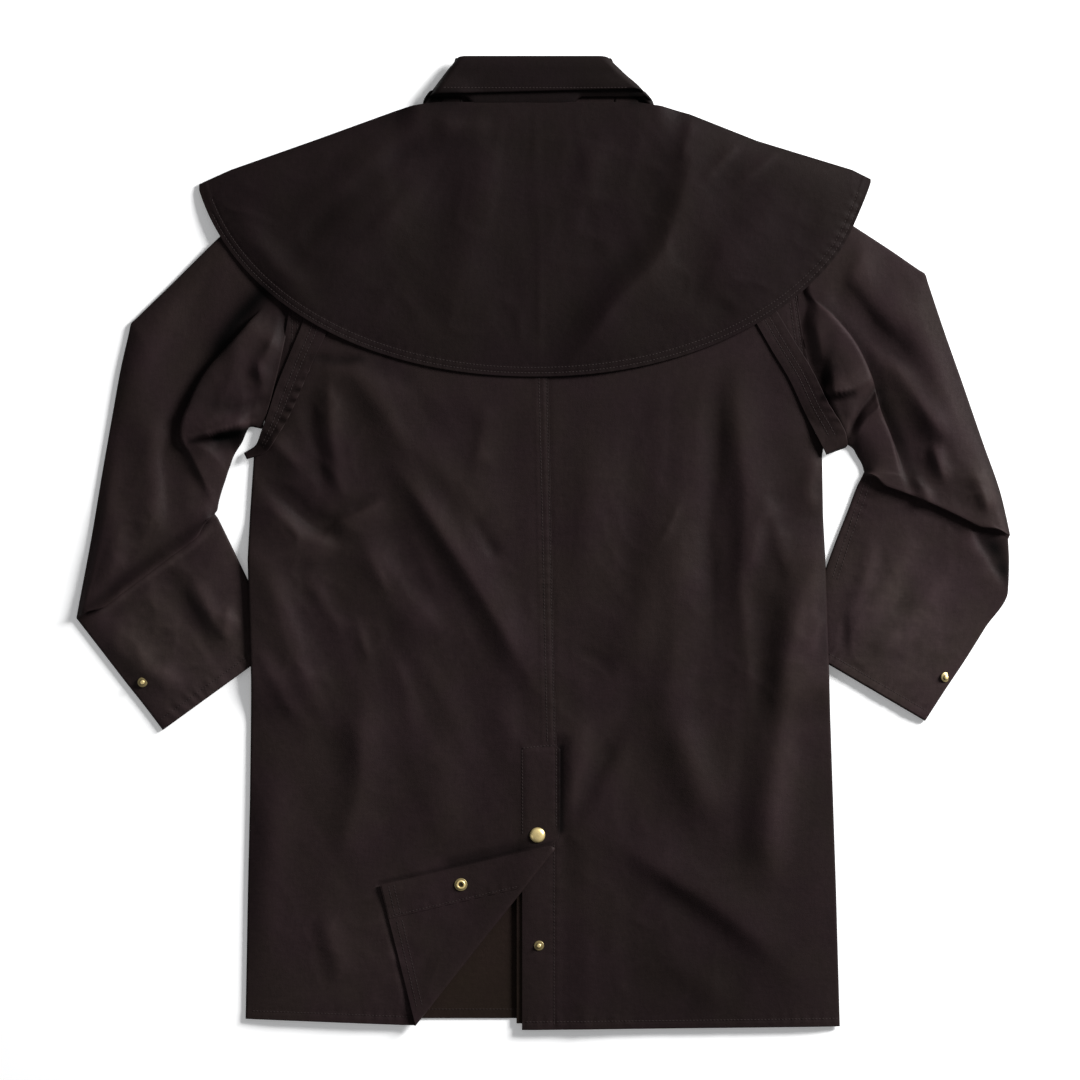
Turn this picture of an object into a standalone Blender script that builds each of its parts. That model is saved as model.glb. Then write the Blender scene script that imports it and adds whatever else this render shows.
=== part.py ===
"""Oilskin coat with a shoulder cape, laid face down on the floor with its back up.

Lengths in the tables are millimetres: x to the right and y towards the collar, both from the middle of the
laid-out coat, and z up from the floor. The back, seen from above, has the wearer's left on the left.
"""

import math

import bmesh
import bpy
import numpy as np

MM = 0.001
LEFT = -1
RIGHT = 1

# Cloth and seams
CLOTH = 1.2
FACING_CLOTH = 1.0
SEAM = 0.3
LAYER = CLOTH + SEAM
EDGE_HEIGHT = 2 * CLOTH + SEAM
WELD = 0.00002

# Body
BODY_PUFF = 3.2
SIDE_CLEAR = 0.35
SHOULDER_FLATTEN = 0.2
EDGE_ROLL = 22.0
NECK_RISE = 2.6
BACK_CLEAR = 0.6
FRONT_HEM = -475.0
FRONT_INSET = 0.8
LEFT_FRONT_EDGE = 42.0
RIGHT_FRONT_EDGE = -15.0

# Vent in the back
VENT_TOP = -203.0
OVERLAP_EDGE = 17.0
UNDERLAP_EDGE = -21.0
UNDERLAP_DROP = 2.0
VENT_LIFT = 2.2
VENT_LIFT_REACH = 48.0
FACING_WIDTH = 35.0
HIDDEN_FACING_SHOWS = 5.5
TURN_TOP = (17.0, -296.0)
TURN_FOOT = (-128.0, -479.0)
TURN_RADIUS = 1.3

# Cape: its hem is a superellipse about this middle
CAPE_MIDDLE = (-8.0, 416.0)
CAPE_HALF_WIDTH = 345.0
CAPE_DROP = 250.0
CAPE_POWER = 2.1
CAPE_TIP = 336.5
CAPE_LEVEL = 9.8
STRAP_ROOM = 1.9
CAPE_CORNER_DROP = 4.0
CAPE_ROLL = 16.0

# Sleeves
SLEEVE_EDGE = 3.2
SLEEVE_ROLL = 16.0
RIDE = 5.6
RIDE_REACH = 95.0

# Collar
COLLAR_AXIS = 6.7
COLLAR_LEAF = 100.0

# Brass
CAP_RADIUS = 7.7
SOCKET_RADIUS = 6.4
STUD_RADIUS = 5.0
TURNED_STEPS = 24


def table(names, *rows):
    """A short table as one array for each named column."""
    return dict(zip(names.split(), np.array(rows, float).T))


BODY_SIDES = table(
    "y left right",
    (-490, -297.5, 297),
    (-347, -295, 293),
    (-257, -293, 290),
    (-137, -291.5, 286),
    (-17, -295, 282),
    (28, -293, 280),
    (88, -289, 279),
    (112, -280, 283),
)
ARMHOLES = table(
    "side shoulder_x shoulder_y underarm_x underarm_y bow",
    (LEFT, -241, 377, -280, 112, 11),
    (RIGHT, 242, 375, 283, 108, -11),
)
SHOULDERS = table("y left right", (376, -241, 242), (400, -182, 180), (420, -121, 123), (430, -108, 105))
LEFT_HEM = table("x y", (-297, -475.5), (-139, -481.5), (17, -484))
RIGHT_HEM = table("x y", (-21, -486.5), (297, -483))
CENTRE_SEAM = table("y x", (-203, 13), (166, 2), (440, -6))
CAPE_TOP = table(
    "x y",
    (-345, 358),
    (-312, 373),
    (-227, 403),
    (-147, 433),
    (-132, 434.5),
    (-119, 431),
    (-103, 438.8),
    (89, 438.8),
    (104, 432),
    (118, 434),
    (147, 430),
    (214, 403),
    (309, 373),
    (329, 363),
)
LEFT_CAPE_FRONT_TOP = table("x y", (-345, 358), (-312, 373), (-227, 403), (-147, 433), (-127, 436), (-93, 283), (-24, 255))
RIGHT_CAPE_FRONT_TOP = table("x y", (10, 255), (115, 276), (117, 435), (147, 430), (214, 403), (309, 373), (329, 363))
LEFT_NECK = table("y x", (255, LEFT_FRONT_EDGE), (283, -93), (420, -123))
RIGHT_NECK = table("y x", (255, RIGHT_FRONT_EDGE), (283, 117), (420, 118))

FRONT_ROWS = {
    "y": np.array(
        [FRONT_HEM, -400, -325, -250, -190, -165, -142, -120, -75, -30, -10, 12, 35, 70, 110]
        + [130, 150, 175, 200, 230, 255, 283, 330, 376, 398, 420]
    )
}
FRONT_COLUMNS = {"share": np.array([0, 0.1, 0.2, 0.38, 0.55, 0.7, 0.8, 0.9, 1])}
FOLD_NAMES = "x0 y0 x1 y1 bow rise left_reach right_reach"
BACK_FOLDS = table(
    FOLD_NAMES,
    (-173, 163, -43, 0, 6, 4.5, 30, 22),
    (-125, 46, 1, -173, 4, 4.0, 26, 13),
    (-277, 55, -182, -10, 4, 5.0, 18, 20),
    (-173, 22, -88, -93, 0, 4.0, 15, 26),
    (-290, -17, -210, -175, -8, 3.5, 18, 18),
    (-164, -170, -203, -330, 0, 5.0, 26, 20),
    (198, 183, 207, -69, 4, 4.5, 16, 18),
    (171, 9, 171, -138, 0, 3.5, 17, 14),
    (272, 91, 246, -134, 0, 4.0, 18, 18),
    (74, -287, 291, -452, 8, 6.0, 28, 15),
    (43, -179, 32, -280, 0, 3.5, 26, 13),
    (145, -157, 182, -287, 0, 4.0, 22, 22),
    (243, -157, 232, -352, 0, 4.0, 24, 20),
)
CAPE_FOLDS = table(
    FOLD_NAMES,
    (-145, 401, -227, 336, 0, 4.0, 22, 20),
    (-106, 377, -227, 239, 0, 4.0, 40, 30),
    (147, 406, 38, 195, 26, 5.0, 34, 18),
)
LEFT_SLEEVE_FOLDS = table(
    FOLD_NAMES,
    (-272, 246, -354, 104, -8, 8.0, 36, 9),
    (-356, 112, -334, 36, 0, 5.0, 18, 9),
)
RIGHT_SLEEVE_FOLDS = table(
    FOLD_NAMES,
    (254, 266, 334, 140, 8, 7.0, 9, 36),
    (334, 150, 369, 73, 0, 6.0, 9, 24),
    (291, 252, 383, 121, 0, 4.0, 16, 18),
)

SLEEVE_NAMES = "outer_x outer_y inner_x inner_y bow puff base"
LEFT_UPPER_ARM = table(
    SLEEVE_NAMES,
    (-241.8, 377, -280.8, 114, 11, 3.0, LAYER),
    (-281, 343, -292, 116, 6, 3.0, LAYER),
    (-321, 308, -301, 100, 3, 3.0, LAYER),
    (-371, 259, -309, 87, 0, 3.0, 0),
    (-412, 219, -313, 76, 0, 3.0, 0),
    (-422, 175, -317, 64, 0, 3.0, 0),
    (-431, 125, -321, 52, 0, 3.0, 0),
    (-441, 68, -324, 41, 0, 3.0, 0),
    (-451, 8, -325.5, 33, 0, 3.0, 0),
)
LEFT_FOREARM = table(
    SLEEVE_NAMES,
    (-455, -90, -319, 13, 0, 2.2, 0),
    (-438, -112, -305, -16, 0, 2.0, 0),
    (-418, -138, -291, -45, 0, 1.8, 0),
    (-399, -162, -277, -74, 0, 1.8, 0),
    (-380, -187, -263, -102, 0, 2.0, 0),
)
LEFT_CREASE = table(SLEEVE_NAMES, (-465, -77, -326.5, 27, 0, 2.4, 0))
RIGHT_UPPER_ARM = table(
    SLEEVE_NAMES,
    (242.8, 375, 283.8, 110, -11, 3.0, LAYER),
    (277, 339, 293, 105, -6, 3.0, LAYER),
    (310, 317, 303, 99, -3, 3.0, LAYER),
    (347, 293, 310, 94, 0, 3.0, 0),
    (382, 269, 314, 87, 0, 3.0, 0),
    (400, 215, 317, 82, 0, 3.0, 0),
    (419, 161, 319, 78, 0, 3.0, 0),
    (440, 100, 320, 75, 0, 3.0, 0),
    (458, 48, 320.5, 72.5, -4, 3.0, 0),
)
RIGHT_FOREARM = table(
    SLEEVE_NAMES,
    (466, -17, 314, 57, -6, 2.2, 0),
    (465, -48, 306, 36, -3, 2.0, 0),
    (442, -85, 293, 3, 0, 1.8, 0),
    (422, -117, 280, -32, 0, 1.8, 0),
    (402, -147, 267, -67, 0, 1.8, 0),
    (382, -178, 254, -103, 0, 2.0, 0),
)
RIGHT_CREASE = table(SLEEVE_NAMES, (466, 6, 320, 69, -8, 2.4, 0))

# The elbow tuck, row by row down the arm: where each row lies at the sleeve's edges and at its middle, and how high
TUCK = table(
    "edge_along middle_along rise",
    (-4.5, -18, 4.6),
    (-3.2, 5, 5.0),
    (-2.0, 6.6, 3.5),
    (-0.9, 5, 2.0),
    (0.3, -11, 1.75),
    (1.5, -12, 1.0),
    (2.7, -11, 0.35),
    (4.5, 9, 0.2),
)

STRAP_NAMES = "left_x left_y left_z right_x right_y right_z"
LEFT_STRAP = table(
    STRAP_NAMES,
    (-233, 247, 0, -209, 236, 0),
    (-240, 221, 0, -216, 211, 0),
    (-253, 189, 0, -230, 181, 0),
    (-266, 157, 0.4, -243, 150, 0.4),
    (-274, 132, 1.2, -254, 126, 2.0),
    (-281, 113, 1.6, -265, 107, 4.4),
    (-287, 98, 0.6, -278, 90, 4.4),
    (-299, 90, -1.0, -296, 84, 2.0),
)
RIGHT_STRAP = table(
    STRAP_NAMES,
    (202, 238, 0, 222, 251, 0),
    (213, 219, 0, 233, 232, 0),
    (228, 193, 0.2, 249, 205, 0.8),
    (246, 163, 0.6, 268, 174, 3.6),
    (261, 131, 1.8, 284, 141, 5.0),
    (278, 98, 5.0, 303, 106, 6.6),
    (282, 90, 4.4, 304, 98, 4.6),
    (283, 88, 1.4, 302, 95, 1.4),
)

COLLAR_FALL_ROWS = table(
    "y z",
    (450.5, 13.0),
    (462, 13.3),
    (474, 13.4),
    (480, 13.0),
    (484.4, 11.9),
    (486.2, 10.4),
    (485.9, 9.3),
)
COLLAR_STAND_ROWS = table("y z", (440.6, 10.0), (455, 10.2), (469, 10.2), (477, 9.8), (483, 9.0))
COLLAR_SIDES = table(
    "side top_x top_y foot_x foot_y",
    (LEFT, -85, 486, -120, 440),
    (RIGHT, 64, 487, 107, 442),
)

CAP_PROFILE = table("radius z", (0, 3.2), (3.4, 3.0), (5.6, 2.3), (7.0, 1.2), (CAP_RADIUS, 0.5), (CAP_RADIUS, 0), (0, 0))
SOCKET_PROFILE = table(
    "radius z", (0, 0.8), (2.1, 0.8), (2.3, 2.2), (3.4, 2.5), (4.4, 1.6), (SOCKET_RADIUS, 0.8), (SOCKET_RADIUS, 0), (0, 0)
)
STUD_PROFILE = table(
    "radius z", (0, 3.2), (1.4, 3.0), (1.9, 2.3), (1.6, 1.2), (3.6, 1.1), (STUD_RADIUS, 0.6), (STUD_RADIUS, 0), (0, 0)
)
CAP_PLACE = (-5.5, -291.5)
SOCKET_PLACE = (-82.0, -341.0)
VENT_STUD_PLACE = (-4.0, -402.0)
LEFT_CUFF_STUD = (-400.0, -139.0, 0.0)
RIGHT_CUFF_STUD = (402.0, -134.0, 24.0)

OILSKIN = (0.024, 0.0165, 0.0165, 1)
OILSKIN_INSIDE = (0.026, 0.017, 0.0145, 1)
BRASS = (0.62, 0.47, 0.2, 1)


def smooth(share):
    """An easy rise from 0 to 1 as the share goes from 0 to 1."""
    share = np.clip(share, 0, 1)
    return share * share * (3 - 2 * share)


def swell(distance, reach):
    """How far a wall has risen at a distance in from its rolled edge, as a share."""
    return 1 - np.exp(-np.maximum(distance, 0) / reach)


def mix(low, high, share):
    return low + (high - low) * share


def fold_rise(folds, x, y):
    """Height that the folds of a table add at a place."""
    total = np.zeros(np.broadcast(x, y).shape)
    for x0, y0, x1, y1, bow, rise, left_reach, right_reach in zip(*folds.values()):
        length = math.hypot(x1 - x0, y1 - y0)
        run = ((x1 - x0) / length, (y1 - y0) / length)
        along = ((x - x0) * run[0] + (y - y0) * run[1]) / length
        across = (y - y0) * run[0] - (x - x0) * run[1] - bow * 4 * along * (1 - along)
        reach = np.where(across > 0, left_reach, right_reach)
        ends = smooth((along + 0.12) / 0.3) * smooth((1.12 - along) / 0.3)
        total = total + rise * ends * np.exp(-((across / reach) ** 2))
    return total


def armhole_x(side, y):
    row = list(ARMHOLES["side"]).index(side)
    shoulder_x, shoulder_y, underarm_x, underarm_y, bow = [ARMHOLES[name][row] for name in list(ARMHOLES)[1:]]
    down = (shoulder_y - y) / (shoulder_y - underarm_y)
    return mix(shoulder_x, underarm_x, down) + bow * 4 * down * (1 - down)


def side_edge(side, y):
    """Where the body ends on one side: its side seam, then the armhole, then the shoulder."""
    y = np.asarray(y, float)
    column = "left" if side == LEFT else "right"
    row = list(ARMHOLES["side"]).index(side)
    seam = np.interp(y, BODY_SIDES["y"], BODY_SIDES[column])
    shoulder = np.interp(y, SHOULDERS["y"], SHOULDERS[column])
    under, over = ARMHOLES["underarm_y"][row], ARMHOLES["shoulder_y"][row]
    return np.where(y < under, seam, np.where(y > over, shoulder, armhole_x(side, y)))


def cape_hem(x):
    share = np.clip(np.abs(x - CAPE_MIDDLE[0]) / CAPE_HALF_WIDTH, 0, 1)
    return CAPE_MIDDLE[1] - CAPE_DROP * (1 - share**CAPE_POWER) ** (1 / CAPE_POWER)


def cape_step(x, y):
    """How far the cape's fronts lift what lies on them."""
    return LAYER * smooth((y - cape_hem(x) + 60) / 42)


def sleeve_ride(x, y):
    """How far the forearms lift the sides of the body that lie on them."""
    window = smooth((y + 180) / 50) * smooth((30 - y) / 50)
    left = 1 - smooth((x - side_edge(LEFT, y)) / RIDE_REACH)
    right = 1 - smooth((side_edge(RIGHT, y) - x) / RIDE_REACH)
    return RIDE * window * (left + right)


def floor_rise(x, y):
    return cape_step(x, y) + sleeve_ride(x, y)


def back_height(x, y):
    """Outer face of the back panels."""
    x, y = np.asarray(x, float), np.asarray(y, float)
    inside = np.minimum(x - side_edge(LEFT, y), side_edge(RIGHT, y) - x)
    armhole = swell(np.minimum(y - 112, 376 - y), EDGE_ROLL)
    rise = np.maximum(swell(inside, EDGE_ROLL), armhole)
    bare = smooth((cape_hem(x) - y) / 35)
    folds = fold_rise(BACK_FOLDS, x, y) * bare * swell(inside, 12)
    neck = NECK_RISE * smooth((y - 395) / 30) * smooth((127 - np.abs(x)) / 8) * (1 - rise)
    clear = BACK_CLEAR * sleeve_ride(x, y) / RIDE
    vent = VENT_LIFT * smooth((VENT_TOP + 40 - y) / 50) * np.exp(-((x / VENT_LIFT_REACH) ** 2))
    puff = BODY_PUFF * (1 - SHOULDER_FLATTEN * smooth((y - 380) / 40))
    return EDGE_HEIGHT + SIDE_CLEAR + floor_rise(x, y) + clear + neck + vent + puff * rise + folds


def cape_height(x, y):
    """Outer face of the cape's back."""
    out = np.abs(x - CAPE_MIDDLE[0])
    level = CAPE_LEVEL + STRAP_ROOM * np.exp(-(((out - 225) / 40) ** 2)) * smooth((330 - y) / 70)
    level = level - CAPE_CORNER_DROP * smooth((out - 285) / 60)
    inside = 0.93 * (np.interp(x, CAPE_TOP["x"], CAPE_TOP["y"]) - y)
    rolled = mix(EDGE_HEIGHT, level, swell(inside, CAPE_ROLL))
    shoulder = smooth((np.abs(x + 5) - 118) / 26)
    folds = fold_rise(CAPE_FOLDS, x, y) * swell(inside, 14)
    return mix(level, rolled, shoulder) + folds


def grid_patch(body, points):
    """Lays a grid's vertices at the points, given as rows of (x, y, z)."""
    rows, columns = points.shape[:2]
    made = bmesh.ops.create_grid(body, x_segments=columns - 1, y_segments=rows - 1, size=1)
    for vertex, point in zip(made["verts"], points.reshape(-1, 3)):
        vertex.co = point * MM


def finish(name, body, material):
    mesh = bpy.data.meshes.new(name)
    body.to_mesh(mesh)
    body.free()
    mesh.materials.append(material)
    item = bpy.data.objects.new(name, mesh)
    coat_parts.objects.link(item)
    item.parent = coat
    return item


def cloth(name, patches, material, wall=CLOTH, grows=-1):
    """A wall of cloth on one or more grids that share their edges. It grows from the outer face inwards."""
    body = bmesh.new()
    for points in patches:
        grid_patch(body, points)
    bmesh.ops.remove_doubles(body, verts=body.verts, dist=WELD)
    item = finish(name, body, material)
    thicken = item.modifiers.new("Wall", "SOLIDIFY")
    thicken.thickness = wall * MM
    thicken.offset = grows
    return item


def turned(name, profile, material, place, tilt=0.0):
    """A round snap part, its profile turned about the upright axis."""
    body = bmesh.new()
    ring = [body.verts.new((radius * MM, 0, z * MM)) for radius, z in zip(profile["radius"], profile["z"])]
    for upper, lower in zip(ring, ring[1:]):
        body.edges.new((upper, lower))
    item = finish(name, body, material)
    screw = item.modifiers.new("Turn", "SCREW")
    screw.steps = TURNED_STEPS
    screw.render_steps = TURNED_STEPS
    screw.use_merge_vertices = True
    screw.merge_threshold = 0.00001
    item.location = [value * MM for value in place]
    item.rotation_euler = (0, math.radians(tilt), 0)
    return item


def metal_or_cloth(name, colour, roughness, metallic):
    material = bpy.data.materials.new(name)
    material.use_nodes = True
    shader = material.node_tree.nodes["Principled BSDF"]
    shader.inputs["Base Color"].default_value = colour
    shader.inputs["Roughness"].default_value = roughness
    shader.inputs["Metallic"].default_value = metallic
    return material


def stack(x, y, z):
    """One (rows, columns, 3) array from three that broadcast together."""
    return np.stack(np.broadcast_arrays(x, y, z), axis=-1)


def body_rows(low, high, bare_step, hidden_step):
    """Row heights, close together where the body shows and wider under the cape."""
    shown = np.linspace(low, 190, round((190 - low) / bare_step) + 1)
    hidden = np.linspace(190, high - 10, round((high - 200) / hidden_step) + 1)[1:]
    return np.concatenate([shown, hidden, [high]])


def with_hem(y, x, hem):
    """Lets the lowest rows follow the hem's slant."""
    slant = np.interp(x, hem["x"], hem["y"]) + 480
    return y + slant * np.clip((-300 - y) / 180, 0, 1)


def make_fronts():
    """Both fronts: the left one on the floor, the right one over it at the middle."""
    rows = FRONT_ROWS["y"][:, None]
    share = FRONT_COLUMNS["share"][None, :]
    outer = side_edge(LEFT, rows) + FRONT_INSET
    inner = np.interp(rows, LEFT_NECK["y"], LEFT_NECK["x"])
    x = mix(outer, inner, share)
    cloth("front_left", [stack(x, rows, floor_rise(x, rows))], oilskin_inside, grows=1)
    outer = side_edge(RIGHT, rows) - FRONT_INSET
    inner = np.interp(rows, RIGHT_NECK["y"], RIGHT_NECK["x"])
    x = mix(outer, inner, share)[:, ::-1]
    over = (LAYER + SEAM) * smooth((LEFT_FRONT_EDGE + 34 - x) / 30)
    cloth("front_right", [stack(x, rows, floor_rise(x, rows) + over)], oilskin_inside, grows=1)


def make_cape_fronts():
    """The cape's two front halves, flat on the floor."""
    for name, top, start, end, neck in (
        ("cape_front_left", LEFT_CAPE_FRONT_TOP, -85, -3, (-128, -93)),
        ("cape_front_right", RIGHT_CAPE_FRONT_TOP, 3, 85, (115, 118)),
    ):
        turn = np.radians(np.linspace(start, end, 12))
        x = np.sort(np.append(CAPE_MIDDLE[0] + CAPE_TIP * np.sin(turn), neck))[None, :]
        upper = np.interp(x, top["x"], top["y"]) - 1.5
        lower = np.minimum(cape_hem(x) + 6, upper - 2)
        y = mix(lower, upper, np.linspace(0, 1, 5)[:, None])
        cloth(name, [stack(x, y, 0.0)], oilskin, grows=1)


def turn_corner(x, y, raised=0.0):
    """Folds the left panel's flat cloth over the slanting line of the vent, so its corner lies on the panel."""
    run = np.subtract(TURN_FOOT, TURN_TOP)
    out = np.array((-run[1], run[0])) / np.hypot(*run)
    past = (x - TURN_TOP[0]) * out[0] + (y - TURN_TOP[1]) * out[1]
    foot_x, foot_y = x - past * out[0], y - past * out[1]
    half_turn = math.pi * TURN_RADIUS
    angle = np.clip(past, 0, half_turn) / TURN_RADIUS
    reach = np.where(past < 0, past, TURN_RADIUS * np.sin(angle) - np.maximum(past - half_turn, 0))
    turned_x, turned_y = foot_x + reach * out[0], foot_y + reach * out[1]
    climb = TURN_RADIUS * (1 - np.cos(angle)) + raised
    return stack(turned_x, turned_y, back_height(turned_x, turned_y) + climb)


def make_back_left():
    """Left back panel: a main grid up to the centre seam or the fold, and the turned corner beyond the fold."""
    over = np.linspace(TURN_TOP[1], VENT_TOP - 5, 5)[1:]
    rows = np.concatenate([np.linspace(-480, TURN_TOP[1], 9), over, body_rows(VENT_TOP, 430, 23, 38)])
    edge = np.where(rows < VENT_TOP - 1, OVERLAP_EDGE, np.interp(rows, CENTRE_SEAM["y"], CENTRE_SEAM["x"]))
    slope = (TURN_TOP[0] - TURN_FOOT[0]) / (TURN_TOP[1] - TURN_FOOT[1])
    end = edge.copy()
    turning = rows <= TURN_TOP[1]
    for _ in range(3):
        level = with_hem(rows, end, LEFT_HEM)
        end = np.where(turning, OVERLAP_EDGE + slope * (level - TURN_TOP[1]), edge)
    x = mix(side_edge(LEFT, rows)[:, None], end[:, None], np.linspace(0, 1, 14)[None, :])
    y = with_hem(rows[:, None], x, LEFT_HEM)
    main = turn_corner(x, y)
    start = end[turning][:, None]
    width = OVERLAP_EDGE - start
    half_turn = math.pi * TURN_RADIUS / 0.78
    near = np.minimum(np.array([0, 0.34, 0.67, 1.0])[None, :] * half_turn, width)
    far = mix(half_turn, np.maximum(width, half_turn), np.linspace(0, 1, 7)[None, 1:])
    x = start + np.minimum(np.concatenate([near, far], axis=1), width)
    y = with_hem(rows[turning][:, None], x, LEFT_HEM)
    corner = turn_corner(x, y)
    cloth("back_left", [main, corner], oilskin)


def make_back_right():
    """Right back panel: a main grid from the centre seam, and the vent's underlap beyond it."""

    def height(x, y):
        drop = UNDERLAP_DROP * smooth((VENT_TOP + 16 - y) / 14) * smooth((OVERLAP_EDGE + 16 - x) / 14)
        return back_height(x, y) - drop

    rows = np.concatenate([np.linspace(-480, VENT_TOP - 1, 13), body_rows(VENT_TOP + 8, 430, 23, 38)])[:, None]
    seam = np.interp(rows, CENTRE_SEAM["y"], CENTRE_SEAM["x"]) + SEAM
    x = mix(seam, side_edge(RIGHT, rows), np.linspace(0, 1, 14)[None, :])
    y = with_hem(rows, x, RIGHT_HEM)
    main = stack(x, y, height(x, y))
    low = rows[rows[:, 0] < VENT_TOP]
    x = mix(UNDERLAP_EDGE, seam[: len(low)], np.linspace(0, 1, 4)[None, :])
    y = with_hem(low, x, RIGHT_HEM)
    cloth("back_right", [main, stack(x, y, height(x, y))], oilskin)


def make_vent_facings():
    """The facing that shows on the turned corner, and the one whose edge shows beside the underlap."""
    x = np.linspace(OVERLAP_EDGE - FACING_WIDTH, OVERLAP_EDGE - 1, 6)[None, :]
    start = TURN_TOP[1] - (7.0 + (OVERLAP_EDGE - x) * 0.784) / 0.621
    y = mix(np.interp(x, LEFT_HEM["x"], LEFT_HEM["y"]) + 1, start, np.linspace(0, 1, 9)[:, None])
    cloth("vent_facing_left", [turn_corner(x, y, LAYER)], oilskin_inside, wall=FACING_CLOTH, grows=-1)
    x = np.linspace(UNDERLAP_EDGE - HIDDEN_FACING_SHOWS, 8, 4)[None, :]
    y = np.linspace(-480, VENT_TOP - 4, 13)[:, None]
    z = back_height(x, y) - UNDERLAP_DROP - LAYER
    cloth("vent_facing_right", [stack(x, y, z)], oilskin_inside, wall=FACING_CLOTH)


def make_cape_back():
    turn = np.radians(np.linspace(-86, 86, 31))[None, :]
    x = CAPE_MIDDLE[0] + CAPE_TIP * np.sin(turn)
    share = np.array([0, 0.06, 0.16, 0.28, 0.4, 0.52, 0.64, 0.76, 0.86, 0.93, 0.97, 1.0])[:, None]
    y = mix(cape_hem(x), np.interp(x, CAPE_TOP["x"], CAPE_TOP["y"]), share)
    cloth("cape_back", [stack(x, y, cape_height(x, y))], oilskin)


def row_points(sections, row, distance):
    """Points across one row of a sleeve at distances from its outer edge."""
    outer_x, outer_y, inner_x, inner_y, bow = [sections[name][row] for name in SLEEVE_NAMES.split()[:5]]
    length = math.hypot(inner_x - outer_x, inner_y - outer_y)
    share = distance / length
    run = ((inner_x - outer_x) / length, (inner_y - outer_y) / length)
    bulge = bow * 4 * share * (1 - share)
    return mix(outer_x, inner_x, share) + bulge * abs(run[1]), mix(outer_y, inner_y, share) - bulge * abs(run[0])


def row_length(sections, row):
    return math.hypot(
        sections["inner_x"][row] - sections["outer_x"][row], sections["inner_y"][row] - sections["outer_y"][row]
    )


def ring(folds, puff, base, top, bottom, inside, tuck):
    """One closed ring of a flattened sleeve: outer tip, top wall, inner tip, bottom wall and back."""
    x, y = top
    bare = smooth((cape_hem(x) - 30 - y) / 40) * swell(inside, 14)
    z = base + SLEEVE_EDGE + puff * swell(inside, SLEEVE_ROLL) + fold_rise(folds, x, y) * bare + tuck
    z[0] = base + SLEEVE_EDGE / 2
    z[-1] = base + SLEEVE_EDGE / 2
    upper = stack(x, y, z)
    lower = stack(*bottom, base)
    return np.concatenate([upper, lower[::-1], upper[:1]])


def make_sleeve(name, upper_arm, crease, forearm, folds, flip):
    """A flattened tube with open ends, its top wall tucked at the elbow."""
    edge = np.array([0, 1.6, 7, 16])
    middle = np.linspace(0.2, 0.8, 7)
    rings = []

    def distances(length):
        return np.concatenate([edge, 16 + (length - 32) * (middle - 0.1) / 0.8, length - edge[::-1]])

    def low_distances(length):
        return np.array([1.6, 22, length - 22, length - 1.6])

    def plain_rows(sections):
        for row in range(len(sections["puff"])):
            length = row_length(sections, row)
            along = distances(length)
            inside = np.minimum(along, length - along)
            top = row_points(sections, row, along)
            bottom = row_points(sections, row, low_distances(length))
            puff, base = sections["puff"][row], sections["base"][row]
            rings.append(ring(folds, puff, base, top, bottom, inside, lift_to_tuck(sections, row, inside)))

    def lift_to_tuck(sections, row, inside):
        last = len(upper_arm["puff"]) - 1
        share = {last: 0.7, last - 1: 0.3}.get(row, 0.0) if sections is upper_arm else 0.0
        return TUCK["rise"][0] * share * smooth(inside / 12)

    plain_rows(upper_arm)
    length = row_length(crease, 0)
    along = distances(length)
    inside = np.minimum(along, length - along)
    deep = smooth((inside - 9) / 22)
    high = smooth(inside / 9)
    run = (crease["inner_y"][0] - crease["outer_y"][0], crease["outer_x"][0] - crease["inner_x"][0])
    run = np.array(run) / length * (1 if flip else -1) * -1
    for edge_along, middle_along, rise in zip(*TUCK.values()):
        x, y = row_points(crease, 0, along)
        shift = mix(edge_along, middle_along, deep)
        low_x, low_y = row_points(crease, 0, low_distances(length))
        bottom = (low_x + run[0] * edge_along, low_y + run[1] * edge_along)
        top = (x + run[0] * shift, y + run[1] * shift)
        rings.append(ring(folds, crease["puff"][0], 0.0, top, bottom, inside, rise * high))
    plain_rows(forearm)
    points = np.array(rings[::-1])
    cloth(name, [points[:, ::-1] if flip else points], oilskin)


def make_strap(name, sections):
    """A cape strap, from under the cape's hem down over the armhole and round under the arm."""
    share = np.linspace(0, 1, 3)[None, :]
    x = mix(sections["left_x"][:, None], sections["right_x"][:, None], share)
    y = mix(sections["left_y"][:, None], sections["right_y"][:, None], share)
    raised = mix(sections["left_z"][:, None], sections["right_z"][:, None], share)
    held_x = np.clip(x, side_edge(LEFT, y), side_edge(RIGHT, y))
    z = np.maximum(back_height(held_x, y) + LAYER + raised, CLOTH + SEAM)
    cloth(name, [stack(x, y, z)[::-1]], oilskin)


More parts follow.
